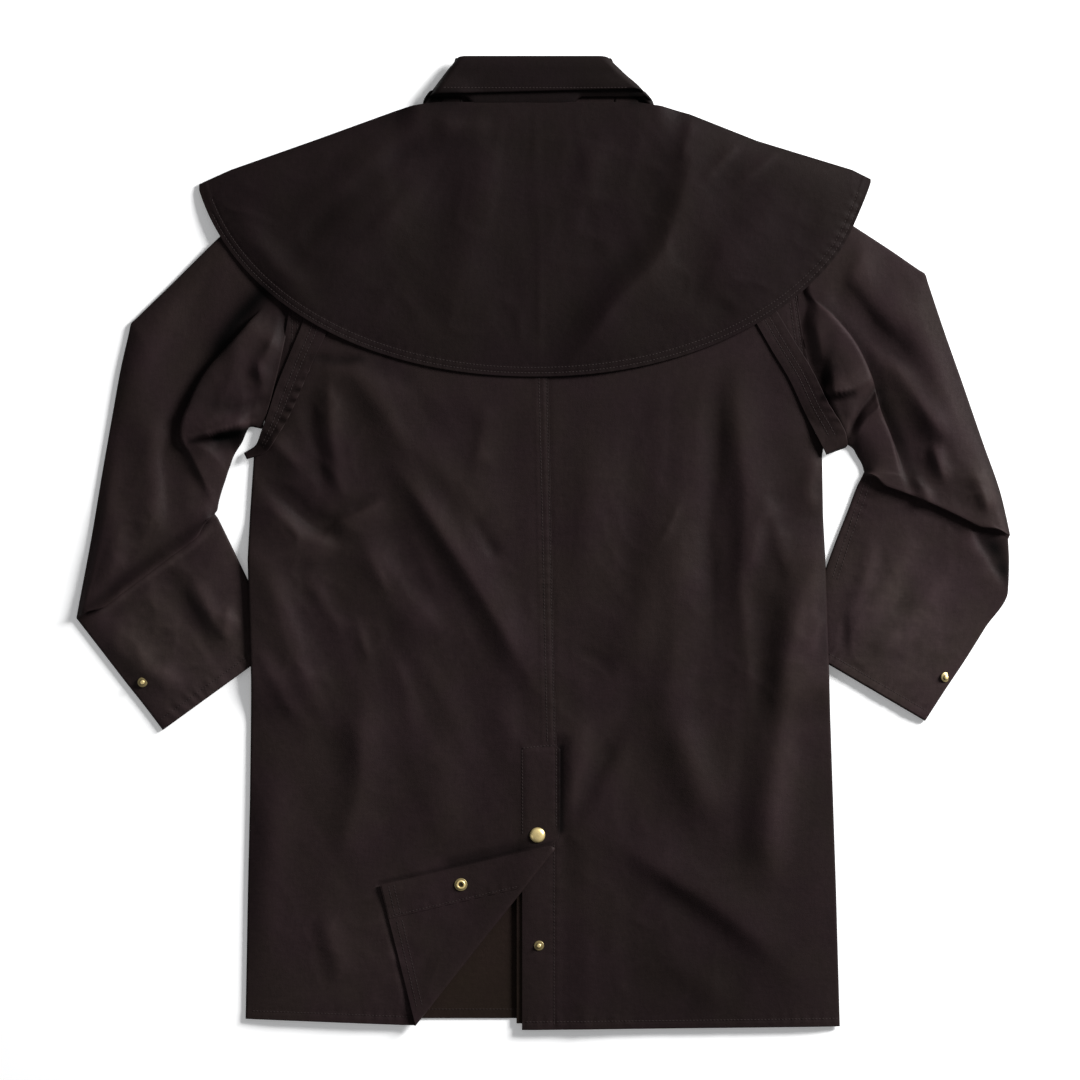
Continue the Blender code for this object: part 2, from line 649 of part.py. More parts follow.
def make_collar(name, rows, material):
    """A collar band: across the back of the neck, then rolled under at each side to lie along the front."""
    y, z = rows["y"][:, None], rows["z"][:, None]
    roll = math.pi * COLLAR_AXIS
    rolled = np.array([0, 0.17, 0.33, 0.5, 0.67, 0.83, 1]) * roll
    leaf = roll + COLLAR_LEAF * np.array([0.12, 0.4, 0.7, 1])
    past = np.concatenate([rolled, leaf])[None, :]
    lines = {}
    for side, top_x, top_y, foot_x, foot_y in zip(*COLLAR_SIDES.values()):
        run = np.array((foot_x - top_x, foot_y - top_y)) / math.hypot(foot_x - top_x, foot_y - top_y)
        out = np.array((run[1], -run[0])) * -side
        start = np.array((top_x, top_y)) - out * COLLAR_AXIS
        lines[side] = (start, out)

    def fold_x(side):
        start, out = lines[side]
        return start[0] - (y - start[1]) * out[1] / out[0]

    def rolled_part(side):
        out = lines[side][1]
        angle = np.clip(past / COLLAR_AXIS, 0, math.pi)
        reach = (z - COLLAR_AXIS) * np.sin(angle) - np.maximum(past - roll, 0)
        flat_x = fold_x(side) + past / out[0]
        foot_x, foot_y = flat_x - past * out[0], y - past * out[1]
        height = COLLAR_AXIS + (z - COLLAR_AXIS) * np.cos(angle)
        return stack(foot_x + reach * out[0], foot_y + reach * out[1], height)

    middle = mix(fold_x(LEFT), fold_x(RIGHT), np.linspace(0, 1, 11)[None, 1:-1])
    points = np.concatenate([rolled_part(LEFT)[:, ::-1], stack(middle, y, z), rolled_part(RIGHT)], axis=1)
    cloth(name, [points], material)


def seat(place, radius):
    """Height at which a round part clears the back under it."""
    turn = np.linspace(0, 2 * math.pi, 16)
    rim = back_height(place[0] + radius * np.cos(turn), place[1] + radius * np.sin(turn))
    return float(max(rim.max(), back_height(*place))) + SEAM + SEAM


def make_snaps():
    """Brass snap parts, each lying 0.3 mm clear of the cloth under it."""
    turned("vent_snap_cap", CAP_PROFILE, brass, (*CAP_PLACE, seat(CAP_PLACE, CAP_RADIUS)))
    socket_z = seat(SOCKET_PLACE, SOCKET_RADIUS) + 2 * TURN_RADIUS + LAYER + SEAM + FACING_CLOTH
    turned("vent_snap_socket", SOCKET_PROFILE, brass, (*SOCKET_PLACE, socket_z))
    stud_z = seat(VENT_STUD_PLACE, STUD_RADIUS) - UNDERLAP_DROP
    turned("vent_snap_stud", STUD_PROFILE, brass, (*VENT_STUD_PLACE, stud_z))
    for name, (x, y, tilt), z in (("cuff_stud_left", LEFT_CUFF_STUD, 5.4), ("cuff_stud_right", RIGHT_CUFF_STUD, 5.9)):
        turned(name, STUD_PROFILE, brass, (x, y, z), tilt)


for item in list(bpy.data.objects):
    bpy.data.objects.remove(item)
coat_parts = bpy.data.collections.new("oilskin_coat")
bpy.context.scene.collection.children.link(coat_parts)
coat = bpy.data.objects.new("coat", None)
coat_parts.objects.link(coat)
oilskin = metal_or_cloth("oilskin", OILSKIN, 0.55, 0.0)
oilskin_inside = metal_or_cloth("oilskin_inside", OILSKIN_INSIDE, 0.65, 0.0)
brass = metal_or_cloth("brass", BRASS, 0.28, 1.0)

make_fronts()
make_cape_fronts()
make_back_left()
make_back_right()
make_vent_facings()
make_cape_back()
make_sleeve("sleeve_left", LEFT_UPPER_ARM, LEFT_CREASE, LEFT_FOREARM, LEFT_SLEEVE_FOLDS, flip=False)
make_sleeve("sleeve_right", RIGHT_UPPER_ARM, RIGHT_CREASE, RIGHT_FOREARM, RIGHT_SLEEVE_FOLDS, flip=True)
make_strap("cape_strap_left", LEFT_STRAP)
make_strap("cape_strap_right", RIGHT_STRAP)
make_collar("collar_stand", COLLAR_STAND_ROWS, oilskin)
make_collar("collar_fall", COLLAR_FALL_ROWS, oilskin)
make_snaps()
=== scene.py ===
"""Looks of an oilskin coat with a shoulder cape that lies face down, back up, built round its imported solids.

Sizes in the tables are millimetres: x towards the wearer's right sleeve, y towards the collar and z up from the
floor, all from the middle of the laid-out coat.
"""

import logging
import math
from dataclasses import dataclass, field
from enum import Enum
from typing import Sequence

import bmesh
import bpy
import numpy as np
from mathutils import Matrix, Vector
from mathutils.bvhtree import BVHTree


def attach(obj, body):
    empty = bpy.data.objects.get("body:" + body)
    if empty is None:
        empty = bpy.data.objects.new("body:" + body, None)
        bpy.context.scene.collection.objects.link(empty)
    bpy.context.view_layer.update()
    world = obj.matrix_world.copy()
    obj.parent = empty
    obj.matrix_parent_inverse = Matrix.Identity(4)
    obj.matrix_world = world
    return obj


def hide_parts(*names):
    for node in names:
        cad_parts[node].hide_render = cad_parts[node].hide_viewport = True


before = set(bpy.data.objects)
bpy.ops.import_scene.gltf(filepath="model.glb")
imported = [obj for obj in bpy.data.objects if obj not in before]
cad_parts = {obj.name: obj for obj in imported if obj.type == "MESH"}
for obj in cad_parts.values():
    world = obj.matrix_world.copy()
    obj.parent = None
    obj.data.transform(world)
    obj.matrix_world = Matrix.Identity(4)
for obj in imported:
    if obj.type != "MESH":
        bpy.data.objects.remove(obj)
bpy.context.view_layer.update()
LOG = logging.getLogger("oilskin_coat")

Array = np.ndarray
Point = tuple[float, float]
Path = tuple[Point, ...]
Colour = tuple[float, ...]
Piece = bpy.types.Object
Material = bpy.types.Material
Socket = bpy.types.NodeSocket

MM = 0.001
SPACING = 2.6
CLOTH = 1.2
FACING_CLOTH = 1.0
TURNED_FACING_CLOTH = 0.6
SEAM = 0.3
SEAM_GAP = 0.04
LAYER = CLOTH + SEAM
EDGE_HEIGHT = 2 * CLOTH + SEAM
RAY_START = 0.1
MERGE_GAP = 0.00002
STEEPEST = 0.3
GAP_BATCH = 4096
LATTICE = 97
WHITE = (1, 1, 1, 1)
EDGE_STEPS = np.array([0, 0.5, 1.1, 1.9, 2.9, 4.1, 5.5, 7.2])

BODY_PUFF = 3.2
SIDE_CLEAR = 0.35
SHOULDER_FLATTEN = 0.2
EDGE_ROLL = 22.0
NECK_RISE = 2.6
NECK_DIP = 1.9
BACK_CLEAR = 0.6
BACK_SOFTNESS = 0.45
BACK_CREASE_DEPTHS = (1.08, 1.35)
BACK_WAVES = 0.95
LAP_LIFT = 0.6
ARMHOLE_LOW = 112.0
ARMHOLE_HIGH = 376.0
ARMHOLE_LAP = 2.2
HEM_LEVEL = -480.0
SLANT_START = -300.0
FRONT_HEM = -475.0
FRONT_INSET = 0.8
FRONT_SPACING = 6.0
LEFT_FRONT_EDGE = 42.0
RIGHT_FRONT_EDGE = -15.0

VENT_TOP = -203.0
OVERLAP_EDGE = 17.0
UNDERLAP_EDGE = -21.0
UNDERLAP_DROP = 2.0
VENT_LIFT = 2.2
VENT_LIFT_REACH = 48.0
FACING_WIDTH = 35.0
FACING_LIFT = 0.75
HIDDEN_FACING_SHOWS = 5.5
HIDDEN_FACING_WIDTH = 34.5
TURN_TOP = (17.0, -296.0)
TURN_FOOT = (-128.0, -479.0)
TURN_RADIUS = 1.3

CAPE_MIDDLE = (-8.0, 416.0)
CAPE_HALF_WIDTH = 345.0
CAPE_DROP = 250.0
CAPE_POWER = 2.1
CAPE_TIP = 336.5
CAPE_LEVEL = 9.8
STRAP_ROOM = 1.9
CAPE_CORNER_DROP = 4.0
CAPE_ROLL = 16.0
CAPE_CREASE_DEPTH = 1.25
CAPE_CRUMPLE = 0.3
# Painted shade: the cape's colour is darkened for the light that falls off towards the collar.
CAPE_PAINTED_SHADE = 0.67
CAPE_SEWING_INSETS = (9.2, 3.8)

SLEEVE_EDGE = 3.2
SLEEVE_ROLL = 16.0
SLEEVE_CREASE_DEPTH = 1.3
SLEEVE_ROOM = 2.2
# Painted light: the sleeves' colour is lightened for how the light falls on them.
SLEEVE_PAINTED_LIGHT = 1.18
CUFF_PUCKER = 0.45
RIDE = 5.6
RIDE_REACH = 95.0
COLLAR_AXIS = 6.7
COLLAR_LEAF = 100.0
COLLAR_CORNER = 6.3
COLLAR_STEP = 1.6
COLLAR_SEWING_INSET = 3.6
# Painted shade: the collar's stand is darkened as it lies in shade under the fall.
STAND_PAINTED_SHADE = 0.38
FALL_TONE = 0.49
STAND_DRAW = 8.5
STRAP_WIDTH = 26.0
STRAP_STEP = 2.0
SNAP_SIDES = 48
SNAP_BEVEL = 0.12
SNAP_LIFT = 0.0002
FLOOR_SIZE = 8.0
FLOOR_LEVEL = -0.0004
SENSOR = 36.0
DOWN = Vector((0, 0, -1))


class Side(Enum):
    """The wearer's side, with the sign of its x."""

    LEFT = -1
    RIGHT = 1


class Slot(Enum):
    """Material slots of the record."""

    OILSKIN = "oilskin"
    INSIDE = "oilskin_inside"
    BRASS = "brass"


def smooth(share: Array | float) -> Array | float:
    """An easy rise from 0 to 1 as the share goes from 0 to 1."""
    share = np.clip(share, 0, 1)
    return share * share * (3 - 2 * share)


def swell(distance: Array | float, reach: float) -> Array | float:
    """How far cloth has risen, as a share, at a distance in from an edge that rolls over a reach."""
    return 1 - np.exp(-np.maximum(distance, 0) / reach)


def mix(low: Array | float, high: Array | float, share: Array | float) -> Array | float:
    """A value that goes from low to high as the share goes from 0 to 1."""
    return low + (high - low) * share


def rounded(share: Array) -> Array:
    """A quarter circle's rise from 0 to 1 as the share goes from 0 to 1."""
    return np.sqrt(np.maximum(1 - (1 - np.clip(share, 0, 1)) ** 2, 0))


def stack(x: Array | float, y: Array | float, z: Array | float) -> Array:
    """Three coordinates that broadcast together, as points along the last axis."""
    return np.stack(np.broadcast_arrays(x, y, z), axis=-1).astype(float)


def as_path(points: Array) -> Path:
    """Rows of (x, y) as a path."""
    return tuple(map(tuple, points))


def table(kind: type, *rows: tuple) -> tuple:
    """Rows of values as items of one kind."""
    return tuple(kind(*row) for row in rows)


def graded(length: float, spacing: float, low: bool = True, high: bool = True) -> Array:
    """Distances from 0 to a length, closer together at the chosen ends.

    Args:
        length: Whole length.
        spacing: Step in the middle.
        low: Whether the start is an edge of the cloth.
        high: Whether the end is an edge of the cloth.

    Returns:
        The distances.
    """
    start = EDGE_STEPS if low else EDGE_STEPS[:1]
    stop = EDGE_STEPS if high else EDGE_STEPS[:1]
    count = max(2, round((length - start[-1] - stop[-1]) / spacing))
    middle = np.linspace(start[-1], length - stop[-1], count + 1)
    return np.concatenate([start[:-1], middle, length - stop[-2::-1]])


def graded_share(length: float, spacing: float = SPACING, low: bool = True, high: bool = True) -> Array:
    """Graded distances as shares of their length."""
    return graded(length, spacing, low, high) / length


def soft_path(points: Sequence[Point], step: float = 2.0) -> Array:
    """A smooth line through points.

    Args:
        points: Points on the line.
        step: Distance between the samples.

    Returns:
        The samples as rows of (x, y).
    """
    knots = np.array(points, float)
    padded = np.vstack([2 * knots[0] - knots[1], knots, 2 * knots[-1] - knots[-2]])
    parts = []
    for a, b, c, d in zip(padded, padded[1:], padded[2:], padded[3:]):
        count = max(2, round(float(np.linalg.norm(c - b)) / step))
        t = np.linspace(0, 1, count, endpoint=False)[:, None]
        bend = (2 * a - 5 * b + 4 * c - d) * t**2 + (3 * b - a - 3 * c + d) * t**3
        parts.append(0.5 * (2 * b + (c - a) * t + bend))
    return np.vstack([*parts, knots[-1:]])


def heading(line: Array) -> Array:
    """Directions of length 1 along a line's samples."""
    run = np.gradient(line, axis=0)
    return run / np.linalg.norm(run, axis=1, keepdims=True)


def measured(line: Array) -> Array:
    """Distance along a line from its start to each sample."""
    return np.concatenate([[0], np.cumsum(np.linalg.norm(np.diff(line, axis=0), axis=1))])


def path_gap(line: Array, x: Array, y: Array) -> tuple[Array, Array, Array]:
    """Where places lie beside a line.

    Args:
        line: Samples of the line.
        x: Places' x, in one dimension.
        y: Places' y.

    Returns:
        Distance across, positive on the left; share along the line; and distance past either end.
    """
    run, far = heading(line), measured(line)
    across, share, past = np.empty((3, len(x)))
    for start in range(0, len(x), GAP_BATCH):
        part = slice(start, start + GAP_BATCH)
        dx = x[part, None] - line[None, :, 0]
        dy = y[part, None] - line[None, :, 1]
        best = (dx * dx + dy * dy).argmin(axis=1)
        pick = np.arange(len(best))
        near_x, near_y = dx[pick, best], dy[pick, best]
        run_x, run_y = run[best, 0], run[best, 1]
        ahead = run_x * near_x + run_y * near_y
        across[part] = run_x * near_y - run_y * near_x
        share[part] = np.clip((far[best] + ahead) / far[-1], 0, 1)
        before = np.where(best == 0, np.maximum(-ahead, 0), 0)
        past[part] = before + np.where(best == len(line) - 1, np.maximum(ahead, 0), 0)
    return across, share, past


def near_line(line: Array, reach: float, x: Array, y: Array) -> Array:
    """A mask of the places in the box round a line, with a margin of its reach."""
    low, high = line.min(axis=0) - reach, line.max(axis=0) + reach
    return (x > low[0]) & (x < high[0]) & (y > low[1]) & (y < high[1])


def ripple(x: Array, y: Array, size: float, seed: int) -> Array:
    """Smooth random waves that are the same in each run.

    Args:
        x: Places' x.
        y: Places' y.
        size: Distance between neighbouring highs and lows.
        seed: Which pattern.

    Returns:
        Heights from -1 to 1.
    """
    lattice = np.random.default_rng(seed).uniform(-1, 1, (LATTICE, LATTICE))
    turn = 0.6 + seed
    u = (x * math.cos(turn) + y * math.sin(turn)) / size + 211.3
    v = (y * math.cos(turn) - x * math.sin(turn)) / size + 187.7
    i, j = np.floor(u).astype(int), np.floor(v).astype(int)
    a, b = u - i, v - j
    a = a**3 * (a * (6 * a - 15) + 10)
    b = b**3 * (b * (6 * b - 15) + 10)

    def corner(right: int, up: int) -> Array:
        """Lattice values at one corner of each place's cell."""
        return lattice[(i + right) % LATTICE, (j + up) % LATTICE]

    return mix(mix(corner(0, 0), corner(1, 0), a), mix(corner(0, 1), corner(1, 1), a), b)


def soft_rows(rows: Array, spacing: float, least: int = 4) -> Array:
    """Rows of points filled in along smooth curves that never overshoot.

    Args:
        rows: Points with the rows along the first axis.
        spacing: Largest step between the new rows.
        least: Fewest steps in a stretch.

    Returns:
        The denser rows.
    """
    gaps = np.linalg.norm(np.diff(rows, axis=0), axis=2)
    step = np.maximum(gaps.mean(axis=1), 0.3)
    slope = np.diff(rows, axis=0) / step[:, None, None]
    product = slope[:-1] * slope[1:]
    safe = np.where(product > 0, slope[:-1] + slope[1:], 1)
    inner = np.where(product > 0, 2 * product / safe, 0)
    tangent = np.concatenate([slope[:1], inner, slope[-1:]])
    parts = []
    for index, length in enumerate(step):
        count = max(least, round(float(gaps[index].max()) / spacing))
        t = np.linspace(0, 1, count, endpoint=False)[:, None, None]
        start = (1 + 2 * t) * (1 - t) ** 2 * rows[index] + t * (1 - t) ** 2 * length * tangent[index]
        stop = t**2 * (3 - 2 * t) * rows[index + 1] + t**2 * (t - 1) * length * tangent[index + 1]
        parts.append(start + stop)
    return np.concatenate([*parts, rows[-1:]])


@dataclass(frozen=True)
class Line:
    """A value that changes in straight stretches.

    Attributes:
        at: Places along, rising.
        value: Value at each place.
    """

    at: tuple[float, ...]
    value: tuple[float, ...]

    def __call__(self, place: Array | float) -> Array:
        """The value at a place."""
        return np.interp(place, self.at, self.value)


@dataclass(frozen=True)
class Crease:
    """A soft ridge, or a trough where its rise is negative, along a bent line.

    Attributes:
        path: Points on its line.
        rise: Height at its middle.
        left: Reach on the left of the line's direction.
        right: Reach on the right.
        power: 2 for a soft top, less for a crisp one.
        lean: How far its top leans over to the left.
    """

    path: Path
    rise: float
    left: float
    right: float
    power: float = 2.0
    lean: float = 0.0

    def push(self, x: Array, y: Array) -> Array:
        """How far the leaning top moves places sideways.

        Args:
            x: Places' x.
            y: Places' y.

        Returns:
            Moves as (x, y) along the last axis.
        """
        line = soft_path(self.path)
        moves = np.zeros((*x.shape, 2))
        near = near_line(line, 20, x, y)
        if self.lean and near.any():
            across, share, past = path_gap(line, x[near], y[near])
            run = heading(line)
            best = np.clip((share * (len(line) - 1)).round().astype(int), 0, len(line) - 1)
            ends = smooth(share / 0.25) * smooth((1 - share) / 0.25) * np.exp(-((past / 4) ** 2))
            far = self.lean * ends * np.exp(-((across / 6.5) ** 2))
            moves[near] = far[:, None] * np.stack([-run[best, 1], run[best, 0]], axis=1)
        return moves

    def height(self, x: Array, y: Array) -> Array:
        """What the crease adds at places.

        Args:
            x: Places' x.
            y: Places' y.

        Returns:
            Heights.
        """
        line = soft_path(self.path)
        total = np.zeros(x.shape)
        near = near_line(line, 2.6 * max(self.left, self.right), x, y)
        if not near.any():
            return total
        across, share, past = path_gap(line, x[near], y[near])
        reach = np.where(across > 0, self.left, self.right)
        ends = 0.15 + 0.85 * smooth(share / 0.3) * smooth((1 - share) / 0.3)
        uneven = 1 + 0.2 * np.sin(7 * share + self.path[0][0])
        fade = (np.abs(across) / reach) ** self.power + (2 * past / (self.left + self.right)) ** 2
        total[near] = self.rise * ends * uneven * np.exp(-fade)
        return total


def crease_height(creases: Sequence[Crease], x: Array, y: Array) -> Array:
    """What several creases add at places.

    Args:
        creases: The creases.
        x: Places' x.
        y: Places' y.

    Returns:
        Heights.
    """
    x, y = (np.ascontiguousarray(item, float) for item in np.broadcast_arrays(x, y))
    total = np.zeros(x.shape)
    for crease in creases:
        total += crease.height(x, y)
    return total


def sewn_dip(paths: Sequence[Path], x: Array, y: Array, depth: float = 0.45) -> Array:
    """How far rows of sewing pull the cloth down, with small puckers beside them.

    Args:
        paths: Lines of sewing.
        x: Places' x.
        y: Places' y.
        depth: Depth under the thread.

    Returns:
        Heights, mostly negative.
    """
    total = np.zeros(x.shape)
    for path in paths:
        line = soft_path(path)
        near = near_line(line, 14, x, y)
        if not near.any():
            continue
        across, share, past = path_gap(line, x[near], y[near])
        along = share * measured(line)[-1]
        pucker = np.sin(along / 1.9 + 2.5 * np.sin(along / 23)) * (0.6 + 0.4 * np.sin(along / 41 + line[0, 0]))
        dip = -depth * np.exp(-((across / 1.7) ** 2)) + 0.22 * pucker * np.exp(-((across / 5.5) ** 2))
        total[near] += dip * np.exp(-((past / 2) ** 2))
    return total


@dataclass(frozen=True)
class Patch:
    """A soft-edged round patch.

    Attributes:
        middle: Its middle.
        reach: Its radius.
        gain: Its strength at the middle.
    """

    middle: Point
    reach: float
    gain: float


@dataclass(frozen=True)
class Streak:
    """A soft-edged streak along a line.

    Attributes:
        path: Points on the line.
        reach: Half of its width.
        gain: Its strength on the line.
    """

    path: Path
    reach: float
    gain: float

    def strength(self, x: Array, y: Array) -> Array:
        """Its strength at places.

        Args:
            x: Places' x, in one dimension.
            y: Places' y.

        Returns:
            Strengths.
        """
        line = soft_path(self.path)
        near = near_line(line, 2.6 * self.reach, x, y)
        across, _, past = path_gap(line, x[near], y[near])
        total = np.zeros(len(x))
        total[near] = self.gain * np.exp(-(across**2 + past**2) / self.reach**2)
        return total


def patch_sum(patches: Sequence[Patch], x: Array, y: Array) -> Array:
    """What patches add at places.

    Args:
        patches: The patches.
        x: Places' x.
        y: Places' y.

    Returns:
        The sum of their strengths.
    """
    total = np.zeros(np.broadcast_shapes(np.shape(x), np.shape(y)))
    for patch in patches:
        gap = ((x - patch.middle[0]) ** 2 + (y - patch.middle[1]) ** 2) / patch.reach**2
        total += patch.gain * np.exp(-gap)
    return total


def drawn_waves(x: Array, y: Array, toward: Point, seed: int) -> Array:
    """Long shallow waves drawn out along one direction.

    Args:
        x: Places' x.
        y: Places' y.
        toward: Direction in which they are drawn out, of length 1.
        seed: Which pattern.

    Returns:
        Heights from about -1 to 1.
    """
    along = 0.2 * (x * toward[0] + y * toward[1])
    across = x * toward[1] - y * toward[0]
    total = np.zeros(np.broadcast_shapes(np.shape(x), np.shape(y)))
    for step, (size, height) in enumerate(((36, 0.6), (18, 0.36), (9, 0.15))):
        total += height * ripple(across, along, size, seed + step)
    return total


def crumple(x: Array, y: Array, size: float, seed: int) -> Array:
    """Small sharp-topped ridges that run every way.

    Args:
        x: Places' x.
        y: Places' y.
        size: Distance between ridges.
        seed: Which pattern.

    Returns:
        Heights from about -1 to 1.
    """
    bent_x = x + 0.5 * size * ripple(x, y, 1.6 * size, seed + 5)
    bent_y = y + 0.5 * size * ripple(x, y, 1.9 * size, seed + 6)
    turned = ripple(0.8 * bent_x + 0.6 * bent_y, 0.8 * bent_y - 0.6 * bent_x, size, seed)
    return 1 - 2.4 * np.sqrt(turned**2 + 0.006)


# Round patches that scale the cloth's tone. Most are painted light and shade: painted shade in the gaps beside the
# collar's ends, in the right elbow tuck's recess, beside the right strap and under the cape's folds, and zones of the
# body painted lighter or darker for the light's fall. The lighter forearms are partly worn cloth and partly painted
# light.
WEAR_AND_PAINTED_LIGHT = table(
    Patch,
    ((375, -95), 85, 0.74),
    ((330, -142), 40, 0.2),
    ((-318, -142), 45, 0.3),
    ((335, -40), 60, 0.3),
    ((-375, -110), 85, 0.5),
    ((60, 130), 70, -0.08),
    ((-80, 105), 55, -0.1),
    ((150, 300), 45, 0.12),
    ((-225, 300), 55, -0.08),
    ((-405, 30), 45, 0.12),
    ((150, -430), 110, -0.2),
    ((-210, -380), 120, 0.1),
    ((284, -265), 30, -0.14),
    ((-60, 60), 130, 0.06),
    # Painted shade in the gaps beside the collar's ends.
    ((-112, 445), 7, -0.6),
    ((-100, 445), 7, -0.7),
    ((-88, 446), 7, -0.7),
    ((92, 446), 9, -0.7),
    # Painted shade in the right elbow tuck's recess.
    ((452, -4), 13, -0.6),
    ((459, -27), 9, -0.55),
    # Painted shade in the gap between the right sleeve and its strap.
    ((281, 166), 8, -0.45),
    ((-190, -190), 200, 0.2),
    ((-110, -400), 60, 0.15),
    ((-230, -440), 90, 0.3),
    # Painted shade of the cape's folds on the back.
    ((-157, 176), 15, -0.22),
    ((-136, 166), 9, -0.18),
)
# Streaks that scale the cloth's tone, all painted light and shade. They paint shade along the sleeves' crevices and
# pockets, the elbow pleats, the vent's overlap edge, above the flap's top edge and under the cape's hem. They paint
# highlights on lit fold edges and bands, and lighter streaks paint out the flap's cast shadow.
PAINTED_LIGHT_AND_SHADE_LINES = table(
    Streak,
    (((336, 150), (348, 120), (362, 88), (376, 58)), 7, -0.42),
    (((18.5, -204), (18.5, -250), (18, -287)), 3.6, -0.85),
    (((262, -70), (257, -115), (250, -175), (243, -245), (236, -325)), 13, 0.3),
    (((234, -95), (226, -165), (216, -240), (209, -300)), 14, -0.12),
    (((-279, 250), (-307, 219), (-335, 174), (-351, 141)), 10, -0.45),
    (((-283, 248), (-302, 228), (-322, 200)), 13, -0.5),
    (((-352, 101), (-330, 104), (-308, 110), (-288, 114)), 3.2, -0.6),
    (((288, 206), (287, 184), (284, 160)), 7, -0.3),
    (((279, 146), (295, 146), (310, 150)), 3.2, -0.7),
    (((291, 138), (298, 122), (304, 108)), 6, 0.35),
    (((8, -299), (-45, -312), (-104, -326), (-163, -339)), 2.2, -0.5),
    (((-18, -301), (-50, -308), (-92, -318)), 5.5, -0.45),
    (((-165, -344), (-158, -372), (-147, -420), (-136, -468)), 2.6, 0.8),
    (((-229, 185), (-206, 181), (-182, 184)), 5, -0.4),
    (((313, 206), (331, 172), (345, 140), (359, 102)), 6, -0.2),
    (((-460, -71), (-402, -27), (-357, 4), (-333, 26)), 6.5, -0.5),
    (((-440, -70), (-397, -37), (-352, -6), (-331, 13)), 2.4, 0.35),
    (((-322, 105), (-306, 104), (-293, 104)), 9, -0.8),
    (((-350, 107), (-328, 112), (-306, 118), (-288, 122)), 2.2, 0.4),
    (((-262, 218), (-268, 190), (-277, 160)), 9, -0.3),
    (((438, 8), (455, -12), (464, -40)), 8, -0.42),
    (((264, -40), (255, -110), (246, -180), (234, -260)), 15, 0.22),
    (((284, -5), (281, -60), (282, -110)), 6, -0.32),
    (((-330, 140), (-305, 132), (-286, 128)), 12, -0.25),
    (((174, -20), (172, -70), (174, -115)), 3, -0.18),
    (((134, 380), (114, 310), (88, 262), (52, 212), (22, 172)), 20, -0.1),
)
SLEEVE_CRUMPLES = table(
    Patch,
    ((-302, 140), 48, 0.35),
    ((-385, -5), 55, 0.45),
    ((-370, -95), 75, 0.35),
    ((300, 160), 48, 0.35),
    ((410, 55), 55, 0.35),
    ((350, -95), 85, 0.5),
)
BACK_CRUMPLES = table(
    Patch,
    ((-240, 110), 60, 0.5),
    ((-255, 10), 60, 0.4),
    ((240, 20), 55, 0.2),
    ((-255, -130), 50, 0.5),
    ((250, -130), 60, 0.35),
    ((120, -400), 120, 0.3),
    ((-180, -400), 120, 0.3),
    ((-140, -60), 160, 0.24),
    ((140, -90), 150, 0.24),
)
